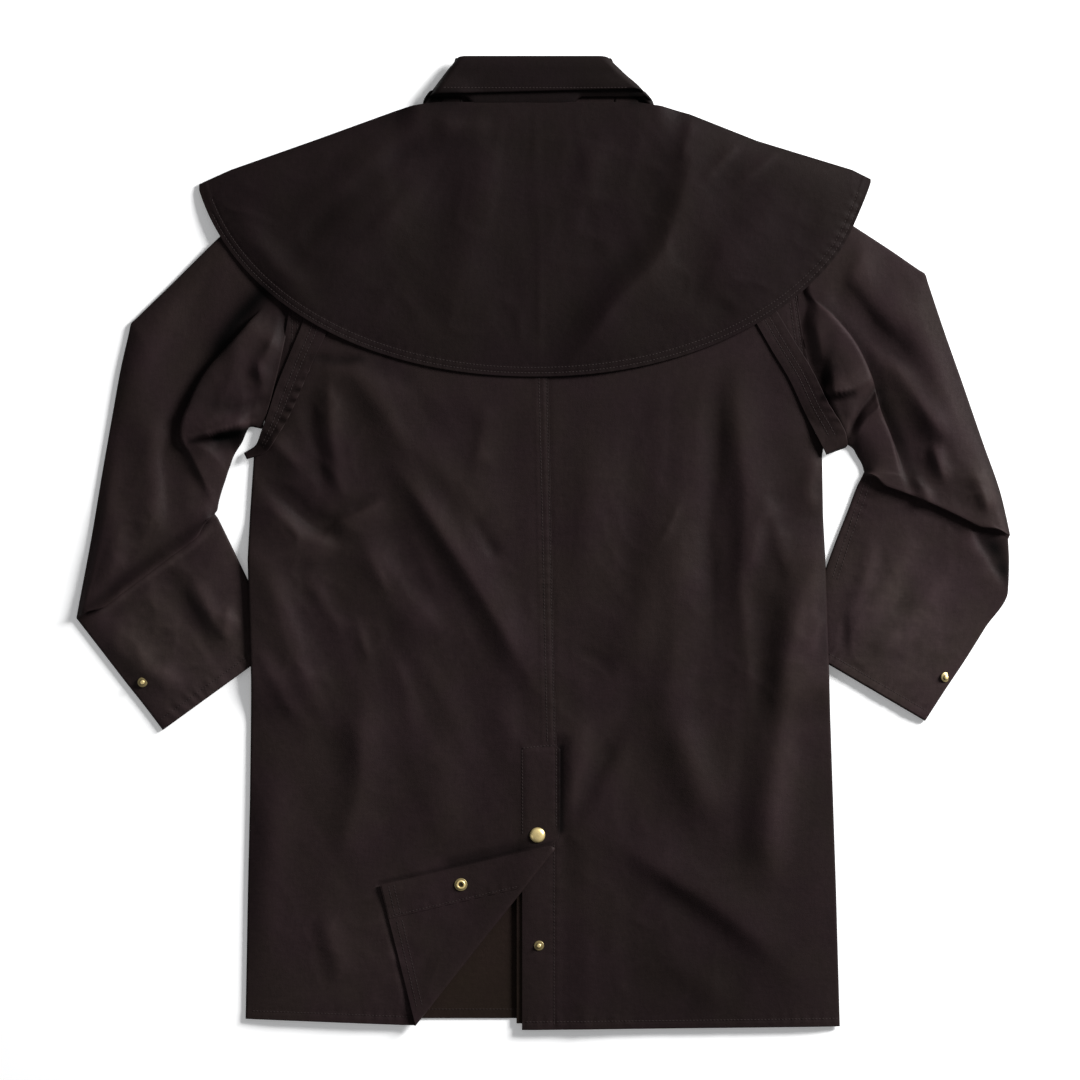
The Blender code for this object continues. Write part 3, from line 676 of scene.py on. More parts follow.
BACK_CREASES = table(
    Crease,
    (((-73, 31), (-43, -19)), -1.5, 7, 7),
    (((-181, 18), (-145, -48), (-94, -99)), 3.6, 15, 26),
    (((-294, -23), (-273, -36), (-259, -85), (-239, -133), (-218, -179)), 3.2, 14, 14, 1.7),
    (((-265, -216), (-275, -336), (-281, -437)), 2.6, 20, 22),
    (((-221, -364), (-199, -444)), 2.0, 14, 10),
    (((-96, -177), (-100, -256), (-110, -316)), 2.4, 28, 26),
    (((-43, -61), (-35, -140), (-37, -215)), 1.6, 14, 18),
    (((28, -94), (74, -133)), -0.8, 18, 18),
    (((82, -177), (33, -270), (23, -308)), -2.5, 11, 12),
    (((137, -158), (144, -213), (174, -290)), 3.6, 20, 20),
    (((236, -156), (224, -287), (224, -352)), 3.6, 22, 20),
    (((141, 65), (106, -55), (76, -155)), 2.6, 24, 24),
    (((55, 121), (48, 21), (37, -69)), 1.6, 20, 18),
    (((283, 95), (268, 60), (272, 25)), 3.4, 11, 12, 1.7),
    (((-284, 46), (-262, 22), (-236, 4), (-200, -6)), 3.4, 12, 18, 1.7),
    (((-176, -140), (-181, -195), (-184, -250), (-206, -330)), 4.2, 22, 15, 1.8),
    (((-54, 140), (-60, 105), (-68, 66)), 1.6, 16, 8),
    (((44, -160), (34, -225), (26, -290)), 1.3, 12, 16),
    (((-290, -95), (-266, -140), (-236, -190)), 1.6, 10, 9, 1.7),
    (((-232, 168), (-198, 172), (-166, 142), (-136, 104), (-84, 60), (-66, 30), (-46, -10)), 4.0, 28, 17, 1.8),
    (((-214, 176), (-213, 132), (-210, 100), (-204, 66), (-194, 34)), 3.8, 16, 11, 1.6),
    (((-292, 80), (-268, 53), (-246, 34), (-222, 14), (-192, 0)), -3.4, 13, 7),
    (((-158, 100), (-114, 30), (-77, -26), (-47, -74), (-10, -139), (4, -172)), 5.4, 24, 12, 1.7),
    (((138, 42), (126, 16), (112, -8)), 0.9, 4, 5, 1.5),
    (((70, -294), (134, -337), (199, -381), (244, -424)), 3.4, 28, 15, 1.8),
    (((93, -325), (152, -368), (205, -412)), -1.4, 13, 14),
    (((102, -394), (192, -464)), 0.9, 18, 14),
    (((176, 170), (174, 75), (166, 0), (172, -80)), -1.8, 10, 12, 1.8),
    (((192, 184), (198, 100), (203, 40), (198, -40), (190, -100)), 3.2, 20, 13, 1.8),
    (((-222, 8), (-194, 23), (-174, 33), (-152, 45)), 2.6, 4, 15, 1.4),
    (((-226, 15), (-196, 30), (-172, 42)), -1.6, 8, 4, 1.6),
    (((-284, 112), (-262, 94), (-236, 68)), 2.6, 11, 9, 1.6),
    (((-178, -2), (-166, -28), (-152, -56)), 1.1, 6, 8, 1.7),
    (((-232, -32), (-216, -62), (-198, -96)), 1.3, 7, 8, 1.7),
    (((-190, -68), (-180, -96), (-170, -126)), 1.1, 6, 7, 1.7),
    (((-262, -50), (-250, -82), (-240, -114)), 1.0, 6, 6, 1.7),
    (((-150, -110), (-136, -150), (-128, -196)), 1.2, 8, 10, 1.8),
    (((-231, 160), (-229, 112), (-223, 80), (-217, 44)), -1.5, 8, 9, 1.8),
    (((140, 30), (136, -60), (130, -140), (122, -215)), 3.0, 24, 22),
    (((280, 12), (266, -45), (250, -93), (242, -136), (240, -210)), 3.6, 34, 17, 1.8),
    (((226, -40), (220, -107), (214, -172)), -0.8, 14, 15),
    (((219, 52), (236, 4), (252, -44)), 1.3, 10, 9, 1.8),
    (((224, 52), (214, 10), (203, -36)), 1.2, 9, 9, 1.8),
    (((196, -30), (203, -100), (206, -170)), 1.6, 9, 10, 1.8),
    (((282, -70), (271, -92), (266, -116)), 1.0, 6, 6, 1.7),
    (((-230, 187), (-206, 183), (-180, 187)), -2.4, 8, 6, 1.8),
)
CAPE_CREASES = table(
    Crease,
    (((-108, 379), (-172, 314), (-230, 241)), 3.6, 30, 36),
    (((-131, 368), (-190, 303)), -0.9, 8, 8),
    (((-84, 399), (-169, 385)), -0.8, 10, 10),
    (((-195, 360), (-261, 268)), -0.9, 12, 12),
    (((255, 355), (195, 295), (154, 235)), 2.6, 26, 22),
    (((188, 243), (164, 214)), -0.8, 12, 12),
    (((-50, 414), (-70, 304), (-80, 204)), 1.8, 24, 20),
    (((-310, 343), (-275, 288), (-219, 227)), 2.0, 14, 16),
    (((-3, 350), (-3, 172)), 0.35, 3, 3, 1.5),
    (((-113, 418), (-48, 415)), 2.0, 10, 12),
    (((57, 402), (35, 332)), 1.4, 14, 14),
    (((-116, 428), (-180, 376), (-256, 306)), 2.4, 13, 17, 1.8),
    (((152, 428), (143, 402), (139, 376)), 1.3, 6, 6, 1.7),
    (((200, 404), (182, 384), (156, 356)), 1.1, 5, 7, 1.7),
    (((242, 398), (216, 374), (186, 352)), 1.0, 5, 7, 1.7),
    (((160, 436), (138, 343), (116, 285), (77, 244), (40, 194), (14, 156)), 5.6, 34, 17, 1.5),
)
LEFT_SLEEVE_CREASES = table(
    Crease,
    (((-347, 275), (-398, 195), (-429, 75)), 2.6, 24, 24),
    (((-401, 141), (-386, 63), (-402, 2)), 2.2, 16, 18),
    (((-437, 59), (-426, 0), (-441, -49)), 2.0, 12, 12),
    (((-314, -66), (-318, -99)), 1.6, 8, 8),
    (((-318, -62), (-300, -88)), 2.2, 8, 8, 1.6),
    (((-458, -79), (-399, -32), (-354, -1), (-328, 22)), 1.6, 3, 4, 1.5),
    (((-380, -26), (-355, -73), (-341, -96)), -2.2, 11, 12),
    (((-444, -87), (-404, -121), (-355, -145)), 2.8, 12, 12),
    (((-354, -28), (-332, -70), (-312, -98)), 2.5, 12, 10, 1.7),
    (((-290, 226), (-311, 165), (-326, 128)), 1.0, 9, 7, 1.6),
    (((-268, 214), (-284, 160)), 0.8, 7, 6, 1.6),
    (((-438, -84), (-412, -96), (-394, -126)), 2.0, 11, 10, 1.7),
    (((-450, -62), (-407, -20), (-364, 11), (-338, 30)), -3.2, 9, 6, 1.7),
    (((-352, 99), (-330, 88), (-314, 66)), 1.6, 6, 10, 1.6),
    (((-262, 216), (-276, 190), (-284, 176), (-278, 154)), 2.2, 7, 6, 1.6),
    (((-270, 148), (-290, 137), (-320, 128)), -1.8, 6, 6),
    (((-336, 105), (-316, 106), (-294, 104)), -2.4, 5, 8, 1.8),
    (((-371, 112), (-372, 60), (-366, 8)), -3.6, 12, 12),
    (
        ((-256, 254), (-291, 208), (-328, 167), (-347, 130), (-355, 107), (-351, 92), (-345, 78)),
        *(5.0, 60, 4.5, 1.5, -9.0),
    ),
    (((-353, 98), (-347, 80), (-337, 60), (-322, 27)), 2.0, 24, 5, 1.6),
    (((-280, 250), (-303, 215), (-339, 170), (-358, 132), (-366, 107), (-361, 88)), -3.0, 4, 13, 1.6),
    (((-354, 105), (-330, 109), (-310, 116), (-286, 121)), 4.6, 12, 4, 1.4),
)
RIGHT_SLEEVE_CREASES = table(
    Crease,
    (((329, 278), (379, 199), (414, 100), (434, 40)), 3.2, 22, 20),
    (((368, 71), (388, 36)), 2.2, 7, 7, 1.6),
    (((300, -69), (298, -113)), -1.5, 5, 5),
    (((388, 104), (394, 80), (404, 56)), 4.0, 10, 8, 1.7),
    (((430, 74), (440, 48), (446, 28)), 3.5, 10, 8, 1.7),
    (((296, 290), (319, 256), (340, 231), (366, 208)), 2.0, 22, 12),
    (((280, 188), (281, 168), (285, 150)), -2.0, 5, 6),
    (((303, 104), (314, 126), (321, 146), (325, 166)), -3.8, 3.5, 3.5, 1.6),
    (((304, 100), (318, 118), (330, 140), (333, 154)), 3.4, 4, 7, 1.5),
    (((334, 144), (341, 118), (351, 94)), -2.4, 4, 5),
    (
        ((240, 260), (270, 232), (301, 198), (319, 162), (327, 131), (345, 89), (361, 54)),
        *(5.0, 4.5, 44, 1.5, 9.0),
    ),
    (((404, -28), (372, -78), (326, -122)), 1.7, 11, 13),
    (((374, 12), (342, -48), (300, -112)), 1.6, 13, 14),
    (((332, 12), (318, -48), (288, -96)), 1.5, 9, 9),
    (((422, 18), (442, -16), (463, -54)), 1.8, 4, 16, 1.5),
    (((434, 14), (450, -8), (461, -30)), -4.0, 9, 10),
    (((342, 194), (362, 160), (384, 128), (408, 94)), 4.2, 13, 13, 1.7),
    (((276, 272), (302, 240), (324, 214), (350, 192), (378, 168)), -3.5, 14, 11),
    (((276, 238), (307, 204), (325, 167), (333, 134), (351, 92), (366, 58)), -4.0, 9, 4, 1.6),
    (((276, 150), (294, 150), (310, 154), (323, 167)), 4.2, 14, 4, 1.5),
)
SIDE_ROWS = (-490, -347, -257, -137, -17, 28, 88, 112)
SHOULDER_ROWS = (376, 400, 420, 430, 453)


@dataclass(frozen=True)
class CoatForm:
    """Heights of the laid-out coat above the floor, on the same sizes as its solids.

    Attributes:
        left_side: Left side seam's x at y.
        right_side: Right side seam's x at y.
        left_shoulder: Left shoulder edge's x at y.
        right_shoulder: Right shoulder edge's x at y.
        centre_seam: Centre seam's x at y.
        left_hem: Left back hem's y at x.
        right_hem: Right back hem's y at x.
        cape_top: Cape's upper edge's y at x.
    """

    left_side: Line = Line(SIDE_ROWS, (-297.5, -295, -293, -291.5, -295, -293, -289, -280))
    right_side: Line = Line(SIDE_ROWS, (297, 293, 290, 286, 282, 280, 279, 283))
    left_shoulder: Line = Line(SHOULDER_ROWS, (-241, -182, -121, -108, -94))
    right_shoulder: Line = Line(SHOULDER_ROWS, (242, 180, 123, 105, 84))
    centre_seam: Line = Line((-203, 166, 440), (13.3, 5.2, -1))
    left_hem: Line = Line((-297, -139, 17), (-475.5, -481.5, -484))
    right_hem: Line = Line((-21, 297), (-486.5, -483))
    cape_top: Line = Line(
        (-345, -312, -227, -147, -132, -120, -106, 93, 104, 118, 147, 214, 309, 329),
        (358, 373, 403, 432, 436.5, 438.5, 440.2, 440.2, 438.5, 436.5, 428.5, 402, 373, 363),
    )

    def side_edge(self, side: Side, y: Array | float) -> Array:
        """Where the body ends on one side: side seam, armhole, then shoulder.

        Args:
            side: Which side.
            y: Places' y.

        Returns:
            The edge's x.
        """
        y = np.asarray(y, float)
        if side is Side.LEFT:
            seam, shoulder, hole = self.left_side, self.left_shoulder, (-241, 377, -280, 112, 11)
        else:
            seam, shoulder, hole = self.right_side, self.right_shoulder, (242, 375, 283, 108, -11)
        over_x, over_y, under_x, under_y, bow = hole
        down = (over_y - y) / (over_y - under_y)
        armhole = mix(over_x, under_x, down) + bow * 4 * down * (1 - down)
        return np.where(y < under_y, seam(y), np.where(y > over_y, shoulder(y), armhole))

    def lapped_edge(self, side: Side, y: Array) -> Array:
        """Where the back's cloth ends on one side, a little over the sleeve along the armhole."""
        lap = ARMHOLE_LAP * smooth((y - 116) / 12) * smooth((370 - y) / 20)
        return self.side_edge(side, y) + side.value * lap

    def inside(self, x: Array, y: Array) -> Array:
        """Distance in from the body's nearer side, negative outside."""
        return np.minimum(x - self.side_edge(Side.LEFT, y), self.side_edge(Side.RIGHT, y) - x)

    def cape_hem(self, x: Array | float) -> Array:
        """The cape's hem, a superellipse that is drawn up at its right tip.

        Args:
            x: Places' x.

        Returns:
            The hem's y.
        """
        share = np.clip(np.abs(np.asarray(x, float) - CAPE_MIDDLE[0]) / CAPE_HALF_WIDTH, 0, 1)
        tip = 8 * smooth((np.asarray(x, float) - 296) / 26)
        return CAPE_MIDDLE[1] - CAPE_DROP * (1 - share**CAPE_POWER) ** (1 / CAPE_POWER) + tip

    def floor_rise(self, x: Array, y: Array) -> Array:
        """How far the cape's fronts and the forearms lift the body that lies on them."""
        return LAYER * smooth((y - self.cape_hem(x) + 60) / 42) + RIDE * self.ride_share(x, y)

    def ride_share(self, x: Array, y: Array) -> Array:
        """Where the sides of the body lie on the forearms.

        Args:
            x: Places' x.
            y: Places' y.

        Returns:
            1 where they do, 0 elsewhere.
        """
        window = smooth((y + 180) / 50) * smooth((30 - y) / 50)
        left = 1 - smooth((x - self.side_edge(Side.LEFT, y)) / RIDE_REACH)
        right = 1 - smooth((self.side_edge(Side.RIGHT, y) - x) / RIDE_REACH)
        return window * (left + right)

    def back(self, x: Array | float, y: Array | float) -> Array:
        """Outer face of the back with its creases.

        Args:
            x: Places' x.
            y: Places' y.

        Returns:
            Heights.
        """
        x, y = np.asarray(x, float), np.asarray(y, float)
        inside = self.inside(x, y)
        beside = np.minimum(y - ARMHOLE_LOW, ARMHOLE_HIGH - y)
        rise = np.maximum(swell(inside, EDGE_ROLL), swell(beside, EDGE_ROLL))
        neck = NECK_RISE * smooth((y - 395) / 30) * smooth((127 - np.abs(x)) / 8) * (1 - rise)
        vent = VENT_LIFT * smooth((VENT_TOP + 40 - y) / 50) * np.exp(-((x / VENT_LIFT_REACH) ** 2))
        puff = BODY_PUFF * (1 - SHOULDER_FLATTEN * smooth((y - 380) / 40))
        lapped = LAP_LIFT * smooth((90 - x) / 20) * smooth((x + 30) / 20) * smooth((150 - y) / 40)
        low = EDGE_HEIGHT + self.floor_rise(x, y) + lapped
        bare = smooth((self.cape_hem(x) - y) / 35)
        slant = smooth((x + 90) / 160)
        waves = mix(drawn_waves(x, y, (0.42, -0.91), 3), drawn_waves(x, y, (-0.1, -0.99), 41), slant)
        calm = (0.5 + 0.5 * smooth(0.5 + ripple(x, y, 110, 9))) * (1 - 0.6 * smooth((-280 - y) / 80))
        waves = BACK_WAVES * waves * calm + 0.4 * ripple(x, y, 58, 7)
        small = patch_sum(BACK_CRUMPLES, x, y) * crumple(x, y, 24, 12)
        depth = mix(*BACK_CREASE_DEPTHS, smooth((x + 70) / 120))
        folds = (depth * crease_height(BACK_CREASES, x, y) + waves + small) * bare * swell(inside, 9)
        neck = neck - NECK_DIP * smooth((y - 430) / 8)
        free = SIDE_CLEAR + BACK_CLEAR * self.ride_share(x, y) + neck + vent + puff * rise + folds
        return low + BACK_SOFTNESS * np.logaddexp(0, free / BACK_SOFTNESS)

    def cape(self, x: Array, y: Array) -> Array:
        """Outer face of the cape with its creases.

        Args:
            x: Places' x.
            y: Places' y.

        Returns:
            Heights.
        """
        out = np.abs(x - CAPE_MIDDLE[0])
        level = CAPE_LEVEL + STRAP_ROOM * np.exp(-(((out - 225) / 40) ** 2)) * smooth((330 - y) / 70)
        level = level - CAPE_CORNER_DROP * smooth((out - 285) / 60)
        inside = 0.93 * (self.cape_top(x) - y)
        over = mix(EDGE_HEIGHT, level, swell(inside, CAPE_ROLL))
        shoulder = smooth((np.abs(x + 5) - 118) / 26)
        up = y - self.cape_hem(x)
        hem = (0.35 * ripple(x, y, 48, 8) - 0.35) * np.exp(-((up / 20) ** 2))
        turn = 330 * np.arctan2(x + 8, 560 - y)
        waves = 0.5 + 0.5 * ripple(x, y, 58, 6) + 0.5 * drawn_waves(turn, y, (0, -1), 51)
        waves = waves * smooth((up - 4) / 30)
        small = CAPE_CRUMPLE * crumple(x, y, 30, 33) * smooth((up - 10) / 30)
        folds = (CAPE_CREASE_DEPTH * crease_height(CAPE_CREASES, x, y) + waves + small) * swell(inside, 12)
        return mix(level, over, shoulder) + folds + hem


FORM = CoatForm()


def turn_corner(x: Array, y: Array, raised: Array | float = 0.0) -> Array:
    """Folds flat cloth of the left panel over the slanting line of the vent.

    Args:
        x: Flat cloth's x.
        y: Flat cloth's y.
        raised: Height over the cloth.

    Returns:
        Points of the folded cloth.
    """
    run = np.subtract(TURN_FOOT, TURN_TOP)
    out = np.array((-run[1], run[0])) / np.hypot(*run)
    past = (x - TURN_TOP[0]) * out[0] + (y - TURN_TOP[1]) * out[1]
    foot_x, foot_y = x - past * out[0], y - past * out[1]
    half_turn = math.pi * TURN_RADIUS
    angle = np.clip(past, 0, half_turn) / TURN_RADIUS
    reach = np.where(past < 0, past, TURN_RADIUS * np.sin(angle) - np.maximum(past - half_turn, 0))
    turned_x, turned_y = foot_x + reach * out[0], foot_y + reach * out[1]
    edge = smooth((x + 8) / 22) * smooth((past - 30) / 40)
    loose = smooth((past - 6) / 30) * (0.2 * ripple(turned_x, turned_y, 37, 11) - 2.15)
    loose = loose + edge * (0.7 + 0.8 * ripple(turned_x, turned_y, 26, 13))
    climb = TURN_RADIUS * (1 - np.cos(angle)) + raised + loose
    return stack(turned_x, turned_y, FORM.back(turned_x, turned_y) + climb)


def crest_of(points: Array, span: int = 9) -> Array:
    """How far each point of a grid stands over its surroundings.

    Args:
        points: Grid of points.
        span: Width of the surroundings, in points.

    Returns:
        Heights in millimetres.
    """
    blurred = points[..., 2]
    for axis in (0, 1):
        wide = np.pad(blurred, [(span, span) if a == axis else (0, 0) for a in (0, 1)], mode="edge")
        total = np.cumsum(wide, axis=axis)
        size = blurred.shape[axis]
        high = np.take(total, np.arange(2 * span, 2 * span + size), axis=axis)
        low = np.take(total, np.arange(0, size), axis=axis)
        blurred = (high - low) / (2 * span)
    return points[..., 2] - blurred


def add_object(name: str, data: bpy.types.ID) -> Piece:
    """Puts a new object in the scene.

    Args:
        name: Its name.
        data: Its mesh, light or camera.

    Returns:
        The object.
    """
    item = bpy.data.objects.new(name, data)
    bpy.context.scene.collection.objects.link(item)
    return item


@dataclass(frozen=True)
class Cut:
    """The flat cut of a sheet of cloth.

    Attributes:
        width: Widest across, in metres.
        length: Longest down, in metres.
        area: Flat area in square metres; not used.
        rests_on: What it lies on; not used.
    """

    width: float
    length: float
    area: float
    rests_on: tuple[str, ...]


@dataclass
class Sheet:
    """A piece of cloth laid on one or more grids that share edges.

    Attributes:
        node: CAD node that it stands for.
        slot: Material slot; not used.
        cut: Its flat cut.
        wall: Thickness in millimetres.
        grows: -1 if the grids are the outer face, 1 if they are the lower face.
        tone: A factor on its colour. On the cape and the collar's stand it is painted shade, and on the sleeves it is
            painted light.
        rows: Rows of sewing on it.
        sewing: Name of its sewing, if it isn't the node's.
    """

    node: str
    slot: Slot
    cut: Cut
    wall: float = CLOTH
    grows: int = -1
    tone: float = 1.0
    rows: tuple[Path, ...] = ()
    sewing: str = ""

    def build(self, grids: Sequence[Array], material: Material, thread: Material) -> Piece:
        """Makes the cloth, sews its rows on it and states its flat cut.

        Args:
            grids: Grids of points in millimetres, rows by columns.
            material: Its material.
            thread: The thread's material.

        Returns:
            The new piece.
        """
        piece = self.lay(grids, material)
        if self.rows:
            Sewing(self.sewing or self.node + "_sewing", self.rows).build(piece, thread)
        flat = (self.cut.width, self.cut.length)
        rests_on = list(self.cut.rests_on)
        LOG.info("%s: %d faces, cut %.3f x %.3f m", piece.name, len(piece.data.polygons), *flat)
        return piece

    def lay(self, grids: Sequence[Array], material: Material) -> Piece:
        """Makes the cloth alone.

        Args:
            grids: Grids of points in millimetres, rows by columns.
            material: Its material.

        Returns:
            The new piece.
        """
        points, faces, crest, base = [], [], [], 0
        for grid in grids:
            rows, columns = grid.shape[:2]
            index = base + np.arange(rows * columns).reshape(rows, columns)
            quads = (index[:-1, :-1], index[:-1, 1:], index[1:, 1:], index[1:, :-1])
            faces.append(np.stack(quads, axis=-1).reshape(-1, 4))
            points.append(grid.reshape(-1, 3))
            crest.append(crest_of(grid).ravel())
            base += rows * columns
        mesh = bpy.data.meshes.new(self.node + "_cloth")
        mesh.from_pydata((np.concatenate(points) * MM).tolist(), [], np.concatenate(faces).tolist())
        # How far each point stands over its surroundings. From it the finish makes ridges lighter and paints shade
        # into the troughs.
        layer = mesh.attributes.new("crest", "FLOAT", "POINT")
        layer.data.foreach_set("value", np.concatenate(crest).astype(np.float32))
        body = bmesh.new()
        body.from_mesh(mesh)
        bmesh.ops.remove_doubles(body, verts=body.verts, dist=MERGE_GAP)
        body.to_mesh(mesh)
        body.free()
        mesh.polygons.foreach_set("use_smooth", [True] * len(mesh.polygons))
        places = np.empty(3 * len(mesh.vertices))
        mesh.vertices.foreach_get("co", places)
        places = places.reshape(-1, 3) / MM
        # The tone attribute paints light and shade: the sheet's factor times the patches and streaks. The forearm
        # patches stand partly for worn cloth.
        tone = mesh.attributes.new("tone", "FLOAT", "POINT")
        x, y = places[:, 0], places[:, 1]
        painted_light_and_wear = self.tone * (1 + patch_sum(WEAR_AND_PAINTED_LIGHT, x, y) + sum(streak.strength(x, y) for streak in PAINTED_LIGHT_AND_SHADE_LINES))
        tone.data.foreach_set("value", painted_light_and_wear.astype(np.float32))
        mesh.materials.append(material)
        piece = add_object(self.node + "_cloth", mesh)
        wall = piece.modifiers.new("Wall", "SOLIDIFY")
        wall.thickness = self.wall * MM
        wall.offset = self.grows
        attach(piece, "root")
        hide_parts(self.node)
        return piece


@dataclass(frozen=True)
class Sewing:
    """Rows of stitches that lie on one piece of cloth.

    Attributes:
        name: Name of the joined mesh.
        rows: Lines of the rows.
        pitch: Distance from stitch to stitch.
        length: Length of a stitch.
        radius: Half the thread's thickness.
    """

    name: str
    rows: tuple[Path, ...]
    pitch: float = 3.4
    length: float = 2.7
    radius: float = 0.36

    def build(self, host: Piece, material: Material) -> Piece:
        """Lays every stitch on the cloth as one joined mesh.

        Args:
            host: The cloth.
            material: The thread's material.

        Returns:
            The joined stitches.
        """
        tree = BVHTree.FromObject(host, bpy.context.evaluated_depsgraph_get())
        chance = np.random.default_rng(len(self.rows) + 17)
        template, faces = self.template()
        points, quads, count = [], [], 0
        for row in self.rows:
            for place, run in self.places(row):
                hit, normal, _, _ = tree.ray_cast(Vector((place[0] * MM, place[1] * MM, RAY_START)), DOWN)
                if hit is None or normal.z < STEEPEST:
                    continue
                ahead = Vector((run[0], run[1], chance.uniform(-0.05, 0.05)))
                ahead = (ahead - normal * ahead.dot(normal)).normalized()
                axes = np.array((ahead, normal.cross(ahead), normal))
                long = template[:, :1] * chance.uniform(0.92, 1.06)
                moved = long * axes[0] + template[:, 1:2] * axes[1] + template[:, 2:] * axes[2]
                points.append(np.array(hit) + MM * moved)
                quads.append(faces + count)
                count += len(template)
        mesh = bpy.data.meshes.new(self.name)
        mesh.from_pydata(np.concatenate(points).tolist(), [], np.concatenate(quads).tolist())
        mesh.polygons.foreach_set("use_smooth", [True] * len(mesh.polygons))
        mesh.materials.append(material)
        piece = add_object(self.name, mesh)
        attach(piece, "root")
        LOG.info("%s: %d stitches", self.name, len(quads))
        return piece

    def places(self, row: Sequence[Point]) -> list[tuple[Array, Array]]:
        """Middles and directions of a row's stitches.

        Args:
            row: Points on the row.

        Returns:
            Pairs of place and direction.
        """
        line = soft_path(row, 1.0)
        run, far = heading(line), measured(line)
        marks = np.arange(self.pitch / 2, far[-1], self.pitch)
        columns = [np.interp(marks, far, values) for values in (*line.T, *run.T)]
        return [(np.array(item[:2]), np.array(item[2:])) for item in zip(*columns)]

    def template(self) -> tuple[Array, Array]:
        """One stitch along x, its thread diving into the cloth at both ends.

        Returns:
            Points and faces.
        """
        sides = 6
        turn = np.arange(sides) * 2 * math.pi / sides
        stations = ((-0.5, 0.5, -0.9), (-0.4, 0.9, -0.25), (0, 1, 0.05), (0.4, 0.9, -0.25), (0.5, 0.5, -0.9))
        rings = []
        for along, thick, lift in stations:
            reach = self.radius * thick
            rings.append(stack(along * self.length, reach * np.cos(turn), reach * np.sin(turn) + lift * self.radius))
        faces = []
        for ring in range(len(stations) - 1):
            for side in range(sides):
                follow = (side + 1) % sides
                low, high = ring * sides, (ring + 1) * sides
                faces.append((low + side, high + side, high + follow, low + follow))
        return np.concatenate(rings), np.array(faces)


class NodeTree:
    """A thin helper that adds and joins shader nodes."""

    def __init__(self, tree: bpy.types.NodeTree) -> None:
        """Keeps the tree to add to."""
        self.tree = tree

    def add(self, kind: str, values: dict[str, object] | None = None, **settings: object) -> bpy.types.Node:
        """Adds a node.

        Args:
            kind: Node type.
            values: Values for its input sockets, a socket for a link.
            settings: Its settings.

        Returns:
            The node.
        """
        node = self.tree.nodes.new(kind)
        for name, value in settings.items():
            setattr(node, name, value)
        for name, value in (values or {}).items():
            key = int(name) if name.isdigit() else name
            if isinstance(value, Socket):
                self.tree.links.new(value, node.inputs[key])
            else:
                node.inputs[key].default_value = value
        return node

    def math(self, operation: str, first: object, second: object) -> Socket:
        """Adds an operation on two values or sockets."""
        return self.add("ShaderNodeMath", {"0": first, "1": second}, operation=operation).outputs[0]

    def blend(self, share: object, first: object, second: object) -> Socket:
        """Adds a mix of two colours."""
        return self.add("ShaderNodeMix", {"Factor": share, "6": first, "7": second}, data_type="RGBA").outputs[2]

    def product(self, first: object, second: object) -> Socket:
        """Adds the product of two colours or vectors."""
        return self.add("ShaderNodeVectorMath", {"0": first, "1": second}, operation="MULTIPLY").outputs[0]

    def scaled(self, colour: object, factor: object) -> Socket:
        """Adds a colour times a factor."""
        return self.add("ShaderNodeVectorMath", {"0": colour, "Scale": factor}, operation="SCALE").outputs[0]

    def attribute(self, name: str) -> Socket:
        """Adds a value that the mesh carries."""
        return self.add("ShaderNodeAttribute", attribute_name=name).outputs["Fac"]

    def link(self, source: Socket, target: Socket) -> None:
        """Joins two sockets."""
        self.tree.links.new(source, target)

    def remap(self, value: object, low: float, high: float, to_low: float, to_high: float) -> Socket:
        """Maps the range from low to high to another one, held at its ends."""
        values = {"Value": value, "From Min": low, "From Max": high, "To Min": to_low, "To Max": to_high}
        return self.add("ShaderNodeMapRange", values).outputs["Result"]

    def noise(
        self, scale: float, detail: float = 2.0, roughness: float = 0.5, stretch: Colour | None = None
    ) -> Socket:
        """Adds noise in the object's own coordinates.

        Args:
            scale: Noise cells in a metre.
            detail: Octaves.
            roughness: Strength of the finer octaves.
            stretch: Factors of the coordinates, for noise drawn out along threads.

        Returns:
            The noise's value.
        """
        place = self.add("ShaderNodeTexCoord").outputs["Object"]
        if stretch:
            place = self.product(place, stretch)
        values = {"Vector": place, "Scale": scale, "Detail": detail, "Roughness": roughness}
        return self.add("ShaderNodeTexNoise", values).outputs["Fac"]


def new_group(name: str, outputs: dict[str, str]) -> tuple[NodeTree, bpy.types.Node]:
    """Starts a shader node group.

    Args:
        name: Name of the group.
        outputs: Socket types by name.

    Returns:
        A helper for the group's tree, and its output node.
    """
    tree = bpy.data.node_groups.new(name, "ShaderNodeTree")
    for label, kind in outputs.items():
        tree.interface.new_socket(label, in_out="OUTPUT", socket_type=kind)
    return NodeTree(tree), tree.nodes.new("NodeGroupOutput")


def new_material(name: str) -> tuple[Material, NodeTree, bpy.types.NodeInputs]:
    """Starts a material.

    Args:
        name: Name of the material.

    Returns:
        The material, a helper for its tree, and its shader's inputs.
    """
    material = bpy.data.materials.new(name)
    material.use_nodes = True
    return material, NodeTree(material.node_tree), material.node_tree.nodes["Principled BSDF"].inputs


